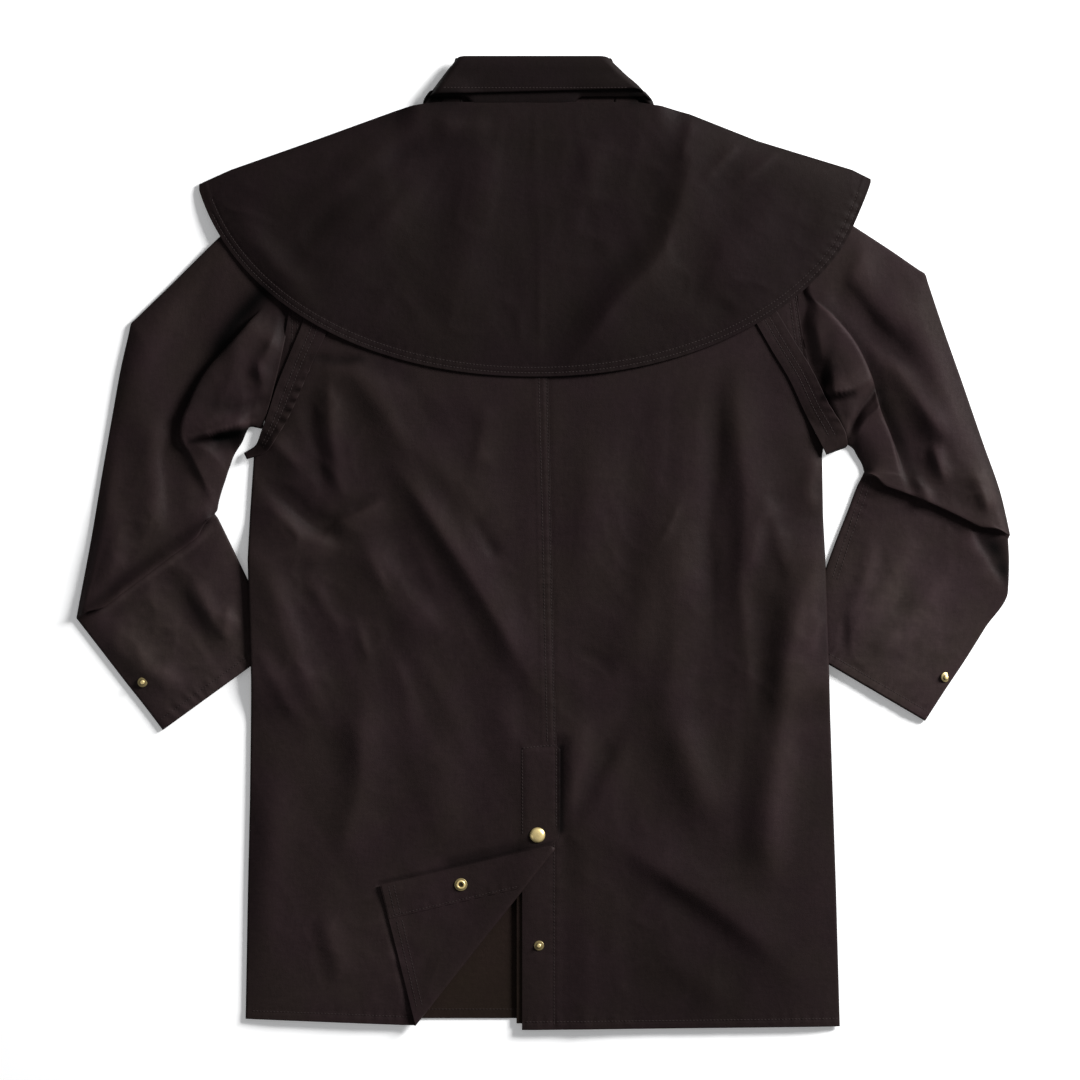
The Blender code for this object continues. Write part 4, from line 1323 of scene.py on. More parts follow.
@dataclass(frozen=True)
class ClothGrain:
    """Fine grain and crinkle of waxed cotton, shared by both faces of the cloth.

    Attributes:
        grain: Grains in a metre.
        crinkle: Crinkles in a metre.
        depth: Height of the grain in metres.
        warm: Tint of the redder clouds.
        cool: Tint of the greener clouds.
    """

    grain: float = 1400.0
    crinkle: float = 190.0
    depth: float = 0.00112
    warm: Colour = (1.01, 0.98, 1.005, 1)
    cool: Colour = (0.972, 1.045, 0.915, 1)

    def build(self) -> bpy.types.NodeTree:
        """Makes the node group.

        Returns:
            A group with a normal, a mottling mask and a tint.
        """
        outputs = {"Normal": "NodeSocketVector", "Mottle": "NodeSocketFloat", "Tint": "NodeSocketColor"}
        helper, out = new_group("waxed_grain", outputs)
        fine = helper.noise(self.grain, 3, 0.6)
        wide = helper.noise(self.crinkle, 4, 0.55)
        total = helper.math("ADD", helper.math("MULTIPLY", fine, 0.32), helper.math("MULTIPLY", wide, 0.4))
        bump = helper.add("ShaderNodeBump", {"Height": total, "Strength": 0.55, "Distance": self.depth})
        cloud = helper.math("MULTIPLY", helper.noise(11, 4, 0.6), 0.26)
        speck = helper.math("MULTIPLY", helper.noise(90, 3, 0.65), 0.18)
        slubs = [helper.noise(520, stretch=stretch) for stretch in ((1, 0.22, 1), (0.22, 1, 1))]
        weave = helper.math("MULTIPLY", helper.math("ADD", *slubs), 0.28)
        mottle = helper.math("ADD", helper.math("ADD", cloud, speck), weave)
        hue = helper.remap(helper.noise(12, 3, 0.55), 0.38, 0.62, 0, 1)
        tint = helper.blend(hue, self.warm, self.cool)
        for name, socket in (("Normal", bump.outputs["Normal"]), ("Mottle", mottle), ("Tint", tint)):
            helper.link(socket, out.inputs[name])
        return helper.tree


@dataclass(frozen=True)
class OilskinFinish:
    """Waxed cotton: dark and nearly matte. It is lighter where a fold has worn its ridge and darker in its troughs as
    painted shade, all scaled by the mesh's tone of painted light and shade.

    Attributes:
        name: Name of the material.
        deep: Colour of darker patches, and of troughs as painted shade.
        worn: Colour on ridges and lighter patches.
        roughness: Roughness of the wax.
        specular: Strength of its sheen.
    """

    name: str
    deep: Colour
    worn: Colour
    roughness: float
    specular: float

    # Greener tint where the tone runs high. This falls on painted light and on forearms that are partly worn.
    LIT_AND_FADED = (0.95, 1.04, 1.01, 1)

    def build(self, grain: bpy.types.NodeTree) -> Material:
        """Makes the material.

        Args:
            grain: Shared grain group.

        Returns:
            The material.
        """
        material, helper, inputs = new_material(self.name)
        shared = helper.add("ShaderNodeGroup", node_tree=grain).outputs
        tone = helper.attribute("tone")
        # Lighter on fold ridges, where the wax is worn, and darker in troughs, which is painted shade.
        ridge = helper.remap(helper.attribute("crest"), -1.6, 1.8, -0.35, 0.35)
        patch = helper.remap(shared["Mottle"], 0.3, 0.7, 0.15, 0.85)
        share = helper.add("ShaderNodeMath", {"0": ridge, "1": patch}, operation="ADD", use_clamp=True).outputs[0]
        tinted = helper.product(helper.blend(share, (*self.deep, 1), (*self.worn, 1)), shared["Tint"])
        lit_and_faded = helper.blend(helper.remap(tone, 1.1, 2.2, 0, 1), WHITE, self.LIT_AND_FADED)
        rough = helper.remap(shared["Mottle"], 0.3, 0.7, self.roughness + 0.06, self.roughness - 0.06)
        # The mesh's tone scales the colour: painted light and shade.
        helper.link(helper.scaled(helper.product(tinted, lit_and_faded), tone), inputs["Base Color"])
        helper.link(rough, inputs["Roughness"])
        helper.link(shared["Normal"], inputs["Normal"])
        inputs["Specular IOR Level"].default_value = self.specular
        return material


@dataclass(frozen=True)
class PlainFinish:
    """An even finish, with a little noise in its roughness.

    Attributes:
        name: Name of the material.
        colour: Base colour.
        roughness: Mean roughness.
        metallic: 1 for metal.
        specular: Strength of the sheen.
        toned: Whether the mesh's tone darkens it in places, as painted shade.
        glow: Strength of its own light.
    """

    name: str
    colour: Colour
    roughness: float
    metallic: float = 0.0
    specular: float = 0.5
    toned: bool = False
    glow: float = 0.0

    def build(self) -> Material:
        """Makes the material.

        Returns:
            The material.
        """
        material, helper, inputs = new_material(self.name)
        for name, value in (
            ("Base Color", (*self.colour, 1)),
            ("Metallic", self.metallic),
            ("Emission Color", WHITE),
            ("Emission Strength", self.glow),
            ("Specular IOR Level", self.specular),
        ):
            inputs[name].default_value = value
        if self.toned:
            helper.link(helper.scaled(self.colour, helper.attribute("tone")), inputs["Base Color"])
        rough = helper.remap(helper.noise(600, 2), 0.3, 0.7, self.roughness * 0.8, min(self.roughness * 1.2, 1))
        helper.link(rough, inputs["Roughness"])
        return material


@dataclass
class Finishes:
    """Every material of the scene.

    Attributes:
        oilskin: Outer face of the cloth.
        inside: Inner face of the cloth.
        thread: Sewing thread.
        brass: Snaps.
        floor: The floor.
    """

    oilskin: Material = field(init=False)
    inside: Material = field(init=False)
    thread: Material = field(init=False)
    brass: Material = field(init=False)
    floor: Material = field(init=False)

    def __post_init__(self) -> None:
        """Makes the materials."""
        grain = ClothGrain().build()
        outer = OilskinFinish("oilskin", (0.0098, 0.0060, 0.0063), (0.0196, 0.0120, 0.0127), 0.58, 0.05)
        inner = OilskinFinish("oilskin_inside", (0.0113, 0.0069, 0.0058), (0.0192, 0.0118, 0.0099), 0.7, 0.04)
        self.oilskin, self.inside = outer.build(grain), inner.build(grain)
        self.thread = PlainFinish("thread", (0.026, 0.019, 0.0184), 0.65, specular=0.08).build()
        self.brass = PlainFinish("brass", (0.98, 0.77, 0.35), 0.36, 0.6, toned=True).build()
        self.floor = PlainFinish("floor", (0.97, 0.97, 0.97), 0.9, specular=0.1, glow=0.2).build()


def hem_band(distance: Array, width: float = 8.5, lift: float = 0.35) -> Array:
    """The slight step of a turned hem at a distance in from its edge."""
    return lift * (1 - smooth((distance - width) / 3))


def slanted(y: Array, x: Array, hem: Line) -> Array:
    """Rows' y with the lowest rows following a hem's slant."""
    return y + (hem(x) - HEM_LEVEL) * np.clip((SLANT_START - y) / (SLANT_START - HEM_LEVEL), 0, 1)


def back_rows() -> tuple[Array, Array, Array]:
    """Rows of the back panels.

    Returns:
        Rows up to the turned corner's top, up to the vent's top, and above it.
    """
    low = HEM_LEVEL + graded(TURN_TOP[1] - HEM_LEVEL, SPACING, True, False)
    middle = TURN_TOP[1] + graded(VENT_TOP - TURN_TOP[1], SPACING, False, False)[1:-1]
    shown = VENT_TOP + graded(250 - VENT_TOP, SPACING, False, False)
    hidden = np.concatenate([np.linspace(250, 430, 16)[1:], (434, 438, 442, 447, 453)])
    return low, middle, np.concatenate([shown, hidden])


SEAM_ROWS = (((2.2, 240), (3.6, 163), (6.6, 23), (11.6, -200)), ((-5.6, 240), (-4.1, 163), (-0.6, 23), (4.2, -200)))
VENT_ROWS = (
    ((-21, -205), (-4, -203), (13.5, -201.5)),
    ((-21, -206), (-20.5, -250), (-20.5, -290)),
    ((13.2, -205), (13.4, -282)),
)
FLAP_HEM_ROWS = (-476.0, -470.5)
LEFT_HEM_ROW = ((-291, -467.4), (-215, -470), (-139, -473), (-131, -473.2))
LEFT_ARMHOLE_ROWS = (
    ((-251, 250), (-250.5, 230), (-251, 200), (-255, 170)),
    ((-246, 250), (-245.5, 230), (-246, 200), (-250, 170)),
)
RIGHT_HEM_ROW = ((-18, -478.4), (130, -477), (294, -475))
UNDERLAP_ROW = ((11, -240), (11, -302), (11, -482))
RIGHT_ARMHOLE_ROWS = (
    ((250, 252), (254.5, 221), (259, 191), (264, 160)),
    ((245, 250), (249.5, 220), (254, 190), (259, 159)),
)
LEFT_ROWS = (*SEAM_ROWS, *VENT_ROWS, LEFT_HEM_ROW, *LEFT_ARMHOLE_ROWS)
RIGHT_ROWS = (RIGHT_HEM_ROW, UNDERLAP_ROW, *RIGHT_ARMHOLE_ROWS)


@dataclass
class BackPanels:
    """Both back panels, the vent's facings and their sewing.

    Attributes:
        finishes: Materials.
    """

    finishes: Finishes

    def build(self) -> dict[str, Piece]:
        """Makes the pieces.

        Returns:
            The pieces by node name.
        """
        return {
            "back_left": self.left_panel(),
            "back_right": self.right_panel(),
            "vent_facing_left": self.left_facing(),
            "vent_facing_right": self.right_facing(),
        }

    def left_panel(self) -> Piece:
        """The left panel, with its vent corner turned back over it.

        Returns:
            The piece.
        """
        low, middle, high = back_rows()
        rows = np.concatenate([low, middle, high])
        edge = np.where(rows < VENT_TOP - 0.1, OVERLAP_EDGE, FORM.centre_seam(rows))
        slope = (TURN_TOP[0] - TURN_FOOT[0]) / (TURN_TOP[1] - TURN_FOOT[1])
        end = edge.copy()
        turning = rows <= TURN_TOP[1]
        for _ in range(3):
            level = slanted(rows, end, FORM.left_hem)
            end = np.where(turning, OVERLAP_EDGE + slope * (level - TURN_TOP[1]), edge)
        end = end - 6.0 * np.clip((-282 - rows) / 24, 0, 1) ** 2 * (rows > -306)
        end = np.where(turning, np.minimum(end, OVERLAP_EDGE + slope * (rows - TURN_TOP[1])), end)
        x = mix(FORM.lapped_edge(Side.LEFT, rows)[:, None], end[:, None], graded_share(310)[None, :])
        y = slanted(rows[:, None], x, FORM.left_hem)
        main = turn_corner(x, y)
        main[..., 2] += self.panel_detail(x, y, FORM.left_hem, LEFT_ROWS)
        main[..., 2] += self.seam_band(x, y)
        start = end[turning][:, None]
        width = (OVERLAP_EDGE - start) * smooth((-300 - rows[turning][:, None]) / 11)
        half_turn = math.pi * TURN_RADIUS / 0.78
        near = np.minimum(np.linspace(0, 1, 9)[None, :] * half_turn, width)
        far = mix(half_turn, np.maximum(width, half_turn), graded_share(150, low=False)[None, 1:])
        x = start + np.minimum(np.concatenate([near, far], axis=1), width)
        y = slanted(rows[turning][:, None], x, FORM.left_hem)
        corner = turn_corner(x, y)
        corner[..., 2] += hem_band(y - FORM.left_hem(x), 10, 0.15) * smooth((x - start) / 12)
        corner[:, 0] = main[turning][:, -1]
        cut = Cut(0.315, 0.92, 0.257, ("front_left", "sleeve_left"))
        sewn = (*LEFT_ROWS, *self.flap_rows(np.linspace(-110, -20, 18)))
        sheet = Sheet("back_left", Slot.OILSKIN, cut, rows=sewn)
        return sheet.build([main, corner], self.finishes.oilskin, self.finishes.thread)

    def flap_rows(self, x: Array) -> list[Path]:
        """Rows of sewing along the turned corner's hem, over the flat cloth's x."""
        return [as_path(turn_corner(x, np.full(len(x), level))[:, :2]) for level in FLAP_HEM_ROWS]

    def panel_detail(self, x: Array, y: Array, hem: Line, rows: Sequence[Path]) -> Array:
        """Heights of a panel's hem step, sewn dips and rounded side."""
        edge = CLOTH * (rounded(FORM.inside(x, y) / (2 * CLOTH)) - 1) * (y < ARMHOLE_LOW)
        return hem_band(y - hem(x)) + sewn_dip(rows, x, y) + edge

    def seam_band(self, x: Array, y: Array) -> Array:
        """The raised band of the lapped centre seam and of the vent's doubled strip.

        Args:
            x: Places' x.
            y: Places' y.

        Returns:
            Heights.
        """
        from_seam = FORM.centre_seam(y) - x
        seam = 0.4 * (1 - smooth((from_seam - 12) / 3)) * (y > VENT_TOP)
        strip = 0.6 * smooth((x + 24) / 4) * smooth((VENT_TOP + 2 - y) / 4)
        return seam + strip

    def right_panel(self) -> Piece:
        """The right panel with the vent's underlap.

        Returns:
            The piece.
        """

        def height(x: Array, y: Array) -> Array:
            """Outer face, dropped where the left panel laps over it.

            Args:
                x: Places' x.
                y: Places' y.

            Returns:
                Heights.
            """
            ramp = mix(13, 30, smooth((TURN_TOP[1] + 4 - y) / 16))
            drop = UNDERLAP_DROP * smooth((VENT_TOP + 16 - y) / 14) * smooth((OVERLAP_EDGE + 1 + ramp - x) / ramp)
            detail = self.panel_detail(x, y, FORM.right_hem, RIGHT_ROWS)
            groove = 0.3 * np.exp(-(((x - FORM.centre_seam(y)) / 3) ** 2)) * (y > VENT_TOP)
            return FORM.back(x, y) - drop + detail - groove

        low, middle, high = back_rows()
        rows = np.concatenate([low, middle, high])[:, None]
        seam = FORM.centre_seam(rows) + SEAM_GAP
        x = mix(seam, FORM.lapped_edge(Side.RIGHT, rows), graded_share(285)[None, :])
        y = slanted(rows, x, FORM.right_hem)
        main = stack(x, y, height(x, y))
        lower = rows[rows[:, 0] < VENT_TOP - 1]
        x = mix(UNDERLAP_EDGE, seam[: len(lower)], graded_share(36, high=False)[None, :])
        y = slanted(lower, x, FORM.right_hem)
        under = stack(x, y, height(x, y))
        under[:, -1] = main[: len(lower), 0]
        cut = Cut(0.32, 0.92, 0.2515, ("front_right", "sleeve_right"))
        sheet = Sheet("back_right", Slot.OILSKIN, cut, rows=RIGHT_ROWS)
        return sheet.build([main, under], self.finishes.oilskin, self.finishes.thread)

    def left_facing(self) -> Piece:
        """The facing that shows on the turned corner.

        Returns:
            The piece.
        """
        edge = OVERLAP_EDGE - FACING_WIDTH
        x = (edge + graded(FACING_WIDTH - 1, SPACING))[None, :]
        start = TURN_TOP[1] - (7.0 + (OVERLAP_EDGE - x) * 0.784) / 0.621
        hem = FORM.left_hem(x) + 1
        y = mix(hem, start, graded_share(180)[:, None])
        points = turn_corner(x, y, FACING_LIFT)
        row = turn_corner(np.full(30, edge + 2.5), np.linspace(HEM_LEVEL, -352, 30))[:, :2]
        rows = (as_path(row), *self.flap_rows(np.linspace(edge + 2, OVERLAP_EDGE - 2, 10)))
        points[..., 2] += hem_band(y - hem, 10, 0.15) + sewn_dip(rows, points[..., 0], points[..., 1], 0.15)
        cut = Cut(0.035, 0.19, 0.0052, ("back_left",))
        sheet = Sheet("vent_facing_left", Slot.INSIDE, cut, TURNED_FACING_CLOTH, rows=rows)
        sheet.sewing = "vent_facing_sewing"
        return sheet.build([points], self.finishes.oilskin, self.finishes.thread)

    def right_facing(self) -> Piece:
        """The facing whose edge shows beside the underlap.

        Returns:
            The piece.
        """
        x = (UNDERLAP_EDGE - HIDDEN_FACING_SHOWS + graded(HIDDEN_FACING_WIDTH, SPACING, high=False))[None, :]
        y = (HEM_LEVEL + graded(VENT_TOP - 4 - HEM_LEVEL, SPACING))[:, None]
        points = stack(x, y, FORM.back(x, y) - UNDERLAP_DROP - LAYER)
        sheet = Sheet("vent_facing_right", Slot.INSIDE, Cut(0.0345, 0.2735, 0.0094, ("front_right",)), FACING_CLOTH)
        return sheet.build([points], self.finishes.inside, self.finishes.thread)


@dataclass
class Fronts:
    """Both fronts and the cape's fronts, which lie underneath.

    Attributes:
        finishes: Materials.
    """

    finishes: Finishes

    def build(self) -> dict[str, Piece]:
        """Makes the four pieces.

        Returns:
            The pieces by node name.
        """
        made = {}
        thread = self.finishes.thread
        rows = (FRONT_HEM + graded(895, FRONT_SPACING))[:, None]
        share = graded_share(320, FRONT_SPACING)[None, :]
        hem_row = ((-150, -466), (-90, -466), (-22, -466))
        left_cut, right_cut = Cut(0.34, 0.895, 0.2616, ("floor",)), Cut(0.311, 0.895, 0.2369, ("floor", "front_left"))
        for side, neck, lap, cut, sewn in (
            (Side.LEFT, (LEFT_FRONT_EDGE, -93, -123), 0.0, left_cut, (hem_row,)),
            (Side.RIGHT, (RIGHT_FRONT_EDGE, 117, 118), LAYER + SEAM, right_cut, ()),
        ):
            outer = FORM.side_edge(side, rows) - side.value * FRONT_INSET
            inner = Line((255, 283, 420), neck)(rows)
            x = mix(outer, inner, share) if side is Side.LEFT else mix(inner, outer, share)
            over = lap * smooth((LEFT_FRONT_EDGE + 34 - x) / 30)
            name = "front_" + side.name.lower()
            sheet = Sheet(name, Slot.INSIDE, cut, grows=1, rows=sewn)
            made[name] = sheet.build([stack(x, rows, FORM.floor_rise(x, rows) + over)], self.finishes.inside, thread)
        left_top = Line((-345, -312, -227, -147, -127, -93, -24), (358, 373, 403, 433, 436, 283, 255))
        right_top = Line((10, 115, 117, 147, 214, 309, 329), (255, 276, 435, 430, 403, 373, 363))
        for name, top, turn, neck, area in (
            ("cape_front_left", left_top, (-85, -3), (-128, -93), 0.0464),
            ("cape_front_right", right_top, (3, 85), (115, 118), 0.0426),
        ):
            around = np.radians(np.linspace(*turn, 40))
            x = np.sort(np.append(CAPE_MIDDLE[0] + CAPE_TIP * np.sin(around), neck))[None, :]
            upper = top(x) - 1.5
            lower = np.minimum(FORM.cape_hem(x) + 6, upper - 2)
            y = mix(lower, upper, np.linspace(0, 1, 24)[:, None])
            sheet = Sheet(name, Slot.OILSKIN, Cut(0.318, 0.262, area, ("floor",)), grows=1)
            made[name] = sheet.build([stack(x, y, 0.0)], self.finishes.oilskin, thread)
        return made


@dataclass
class Cape:
    """The cape's back.

    Attributes:
        finishes: Materials.
    """

    finishes: Finishes

    def build(self) -> Piece:
        """Makes the cape with its sewn hem.

        Returns:
            The piece.
        """
        turn = np.radians(np.linspace(-86, 86, round(900 / SPACING)))
        x = (CAPE_MIDDLE[0] + CAPE_TIP * np.sin(turn))[None, :]
        y = mix(FORM.cape_hem(x), FORM.cape_top(x), graded_share(270)[:, None])
        points = stack(x, y, FORM.cape(x, y))
        hem = np.stack([x[0], FORM.cape_hem(x[0])], axis=1)
        rows = tuple(self.hem_row(hem, inset) for inset in CAPE_SEWING_INSETS)
        across = np.abs(path_gap(hem, points[..., 0].ravel(), points[..., 1].ravel())[0]).reshape(points.shape[:2])
        points[..., 2] += hem_band(across, 8.0, 0.3) + sewn_dip(rows, points[..., 0], points[..., 1], 0.3)
        cut = Cut(0.672, 0.273, 0.136, ("back_left", "back_right"))
        sheet = Sheet("cape_back", Slot.OILSKIN, cut, tone=CAPE_PAINTED_SHADE, rows=rows, sewing="cape_sewing")
        return sheet.build([points], self.finishes.oilskin, self.finishes.thread)

    def hem_row(self, hem: Array, inset: float) -> Path:
        """The row of sewing that follows the hem.

        Args:
            hem: Points on the hem.
            inset: Distance in from the hem.

        Returns:
            Points on the row.
        """
        run = heading(hem)
        moved = hem + inset * np.stack([-run[:, 1], run[:, 0]], axis=1)
        keep = (moved[:, 0] > -331) & (moved[:, 0] < 316) & (moved[:, 1] < 356)
        return as_path(moved[keep][::4])


@dataclass(frozen=True)
class Section:
    """One row across a flattened sleeve.

    Attributes:
        outer: Place of the outer edge.
        inner: Place of the inner edge.
        bow: How far the row bows down the arm.
        puff: Height of the top wall over its edge.
        base: Height of the bottom wall.
    """

    outer: Point
    inner: Point
    bow: float = 0.0
    puff: float = 3.0
    base: float = 0.0

    @property
    def length(self) -> float:
        """Length across."""
        return math.dist(self.outer, self.inner)

    def points(self, distance: Array) -> tuple[Array, Array]:
        """Places across the row.

        Args:
            distance: Distances from the outer edge.

        Returns:
            Their x and y.
        """
        share = distance / self.length
        run = np.subtract(self.inner, self.outer) / self.length
        bulge = self.bow * 4 * share * (1 - share)
        x = mix(self.outer[0], self.inner[0], share) + bulge * abs(run[1])
        return x, mix(self.outer[1], self.inner[1], share) - bulge * abs(run[0])


@dataclass(frozen=True)
class TuckRow:
    """One row of the elbow's tuck.

    Attributes:
        edge: Place down the arm at the sleeve's edges.
        middle: Place down the arm at its middle.
        rise: Height.
    """

    edge: float
    middle: float
    rise: float


TUCK = table(
    TuckRow,
    (-2.4, -7, 5.4),
    (-1.7, 5, 6.4),
    (-1.1, 6.6, 4.6),
    (-0.5, 5, 2.4),
    (0.2, -11, 1.75),
    (0.8, -12, 1.0),
    (1.5, -11, 0.35),
    (2.4, 9, 0.2),
)
LEFT_UPPER_ARM = (
    Section((-241.8, 377), (-280.8, 114), 11, base=LAYER),
    Section((-281, 343), (-292, 116), 6, base=LAYER),
    Section((-321, 308), (-301, 100), 3, base=LAYER),
    Section((-371, 259), (-309, 87)),
    Section((-406, 225), (-312.4, 77.7)),
    Section((-412, 219), (-313, 76)),
    Section((-414, 210), (-313.8, 74)),
    Section((-422, 175), (-317, 64)),
    Section((-431, 125), (-321, 52)),
    Section((-441, 68), (-324, 41)),
    Section((-451, 8), (-325.5, 33)),
)
LEFT_CREASE = Section((-465, -77), (-326.5, 27), puff=2.4)
LEFT_FOREARM = (
    Section((-455, -90), (-319, 13), puff=2.2),
    Section((-438, -112), (-305, -16), puff=2.0),
    Section((-418, -138), (-291, -45), puff=1.8),
    Section((-399, -162), (-277, -74), puff=1.8),
    Section((-380, -187), (-263, -102), puff=2.0),
)
RIGHT_UPPER_ARM = (
    Section((242.8, 375), (283.8, 110), -11, base=LAYER),
    Section((277, 339), (293, 105), -6, base=LAYER),
    Section((310, 317), (303, 99), -3, base=LAYER),
    Section((347, 293), (310, 94)),
    Section((376, 273), (313.4, 88)),
    Section((382, 269), (314, 87)),
    Section((385, 260), (314.5, 86)),
    Section((400, 215), (317, 82)),
    Section((419, 161), (319, 78)),
    Section((440, 100), (320, 75)),
    Section((458, 48), (320.5, 72.5), -4),
)
RIGHT_CREASE = Section((466, 6), (320, 69), -8, 2.4)
RIGHT_FOREARM = (
    Section((466, -17), (314, 57), -6, 2.2),
    Section((465, -48), (306, 36), -3, 2.0),
    Section((442, -85), (293, 3), puff=1.8),
    Section((422, -117), (280, -32), puff=1.8),
    Section((402, -147), (267, -67), puff=1.8),
    Section((382, -178), (254, -103), puff=2.0),
)
LEFT_ARM = (LEFT_UPPER_ARM, LEFT_CREASE, LEFT_FOREARM)
RIGHT_ARM = (RIGHT_UPPER_ARM, RIGHT_CREASE, RIGHT_FOREARM)


@dataclass
class Sleeve:
    """A flattened sleeve, its top wall tucked at the elbow.

    Attributes:
        side: Which sleeve.
        upper_arm: Rows down to the elbow.
        crease: The elbow's row.
        forearm: Rows down to the cuff.
        creases: Its creases.
        rows: Rows of sewing.
        area: Cloth all round, in square metres.
        sink: How far its head dips at the armhole, and over what distance.
        finishes: Materials.
    """

    side: Side
    upper_arm: tuple[Section, ...]
    crease: Section
    forearm: tuple[Section, ...]
    creases: tuple[Crease, ...]
    rows: tuple[Path, ...]
    area: float
    sink: tuple[float, float]
    finishes: Finishes

    EDGE = np.array([0, 0.35, 0.8, 1.6, 2.8, 4.6, 7, 10, 13, 16])
    LOW_EDGE = np.array([0.35, 0.8, 1.6, 22])

    def distances(self, length: float) -> Array:
        """Distances of the top wall's points from the outer edge, by the length across."""
        middle = np.linspace(0, 1, round(150 / SPACING) + 1)[1:-1]
        return np.concatenate([self.EDGE, 16 + (length - 32) * middle, length - self.EDGE[::-1]])

    def ring(
        self, section: Section, shift: Array | float = 0.0, low_shift: float = 0.0, lift: Array | float = 0.0
    ) -> Array:
        """One closed ring of the sleeve before its creases.

        Args:
            section: The row.
            shift: How far down the arm each top point is moved.
            low_shift: How far the bottom wall is moved.
            lift: Height added to the top wall.

        Returns:
            Points of the ring, its first one again at its end.
        """
        along = self.distances(section.length)
        low = np.concatenate([self.LOW_EDGE, section.length - self.LOW_EDGE[::-1]])
        x, y = section.points(along)
        low_x, low_y = section.points(low)
        run = np.array((section.inner[1] - section.outer[1], section.outer[0] - section.inner[0])) / section.length
        run = run * -self.side.value
        x, y = x + run[0] * shift, y + run[1] * shift
        low_x, low_y = low_x + run[0] * low_shift, low_y + run[1] * low_shift
        inside = np.minimum(along, section.length - along)
        half = SLEEVE_EDGE / 2
        top = section.base + half + half * rounded(inside / 1.6) + section.puff * swell(inside, SLEEVE_ROLL) + lift
        low_inside = np.minimum(low, section.length - low)
        bottom = section.base + half - half * rounded(low_inside / 1.6)
        upper = stack(x, y, top)
        return np.concatenate([upper, stack(low_x, low_y, bottom)[::-1], upper[:1]])

    def rings(self) -> Array:
        """All rings down the arm.

        Returns:
            Points as rings by points round.
        """
        made = []
        for index, section in enumerate(self.upper_arm):
            along = self.distances(section.length)
            inside = np.minimum(along, section.length - along)
            share = {len(self.upper_arm) - 1: 0.7, len(self.upper_arm) - 2: 0.3}.get(index, 0.0)
            made.append(self.ring(section, lift=TUCK[0].rise * share * smooth(inside / 12)))
        along = self.distances(self.crease.length)
        inside = np.minimum(along, self.crease.length - along)
        deep, high = smooth((inside - 9) / 22), smooth(inside / 9)
        for row in TUCK:
            made.append(self.ring(self.crease, mix(row.edge, row.middle, deep), row.edge, row.rise * high))
        made.extend(self.ring(section) for section in self.forearm)
        return soft_rows(np.array(made), SPACING)

    def build(self) -> Piece:
        """Makes the sleeve.

        Returns:
            The piece.
        """
        points = self.rings()
        top = points[:, : len(self.distances(self.crease.length))]
        x, y = top[..., 0].copy(), top[..., 1].copy()
        top[..., 2] += self.relief(top, x, y)
        for crease in self.creases:
            top[..., :2] += crease.push(x, y)
        points[:, -1] = points[:, 0]
        points = points[::-1]
        if self.side is Side.RIGHT:
            points = points[:, ::-1]
        cut = Cut(0.53, 0.5, self.area, ("floor",))
        sheet = Sheet("sleeve_" + self.side.name.lower(), Slot.OILSKIN, cut, tone=SLEEVE_PAINTED_LIGHT, rows=self.rows)
        return sheet.build([points], self.finishes.oilskin, self.finishes.thread)

    def relief(self, top: Array, x: Array, y: Array) -> Array:
        """What creases, waves, the cuff and the armhole add to the top wall.

        Args:
            top: Points of the top wall.
            x: Their x.
            y: Their y.

        Returns:
            Heights.
        """
        sign = self.side.value
        flat = top[..., :2]
        inside = np.minimum(*(np.linalg.norm(flat - edge, axis=2) for edge in (flat[:, :1], flat[:, -1:])))
        clear = (x - FORM.side_edge(self.side, y)) * sign
        over = np.where(y < 60, smooth((clear - 4) / 22), 1.0)
        bare = smooth((FORM.cape_hem(x) - 14 - y) / 40) * swell(inside, 10) * over
        bent = smooth((20 + 0.55 * (np.abs(x) - 390) - y) / 30)
        waves = mix(drawn_waves(x, y, (0.36 * sign, -0.93), 21), drawn_waves(x, y, (-0.62 * sign, -0.78), 61), bent)
        waves = waves + 0.4 * ripple(x, y, 41, 24)
        small = patch_sum(SLEEVE_CRUMPLES, x, y) * (crumple(x, y, 21, 24) + 0.4 * crumple(x, y, 11, 25))
        folds = (SLEEVE_CREASE_DEPTH * crease_height(self.creases, x, y) + waves + small) * bare
        room = SLEEVE_ROOM * swell(inside, SLEEVE_ROLL)
        folds = np.where(folds < 0, -room * (1 - np.exp(folds / np.maximum(room, 0.05))), folds)
        cuff = self.forearm[-1]
        cuff_gap = np.abs(path_gap(soft_path((cuff.outer, cuff.inner)), x.ravel(), y.ravel())[0]).reshape(x.shape)
        folds = folds + hem_band(cuff_gap, 10, 0.4) * swell(inside, 6)
        folds = folds + sewn_dip(self.rows, x, y) * swell(inside, 4)
        along = np.hypot(x - cuff.outer[0], y - cuff.outer[1])
        pucker = np.sin(along / 1.5 + 1.7 * np.sin(along / 9)) * (0.6 + 0.4 * np.sin(along / 17))
        folds = folds + CUFF_PUCKER * pucker * np.exp(-(((cuff_gap - 8) / 8) ** 2)) * swell(inside, 6)
        hole = np.linalg.norm(flat - flat[:1], axis=2)
        sunk = self.sink[0] * (1 - smooth((hole - 3) / self.sink[1])) * swell(inside, 8)
        spare = np.maximum(top[..., 2] + folds - LAYER - EDGE_HEIGHT - SEAM, 0)
        return folds - np.minimum(sunk, spare)


@dataclass(frozen=True)
class StrapRow:
    """One row across a cape strap.

    Attributes:
        left: Left edge's place.
        left_raised: Height of the left edge over what it lies on.
        right: Right edge's place.
        right_raised: Height of the right edge.
    """

    left: Point
    left_raised: float
    right: Point
    right_raised: float


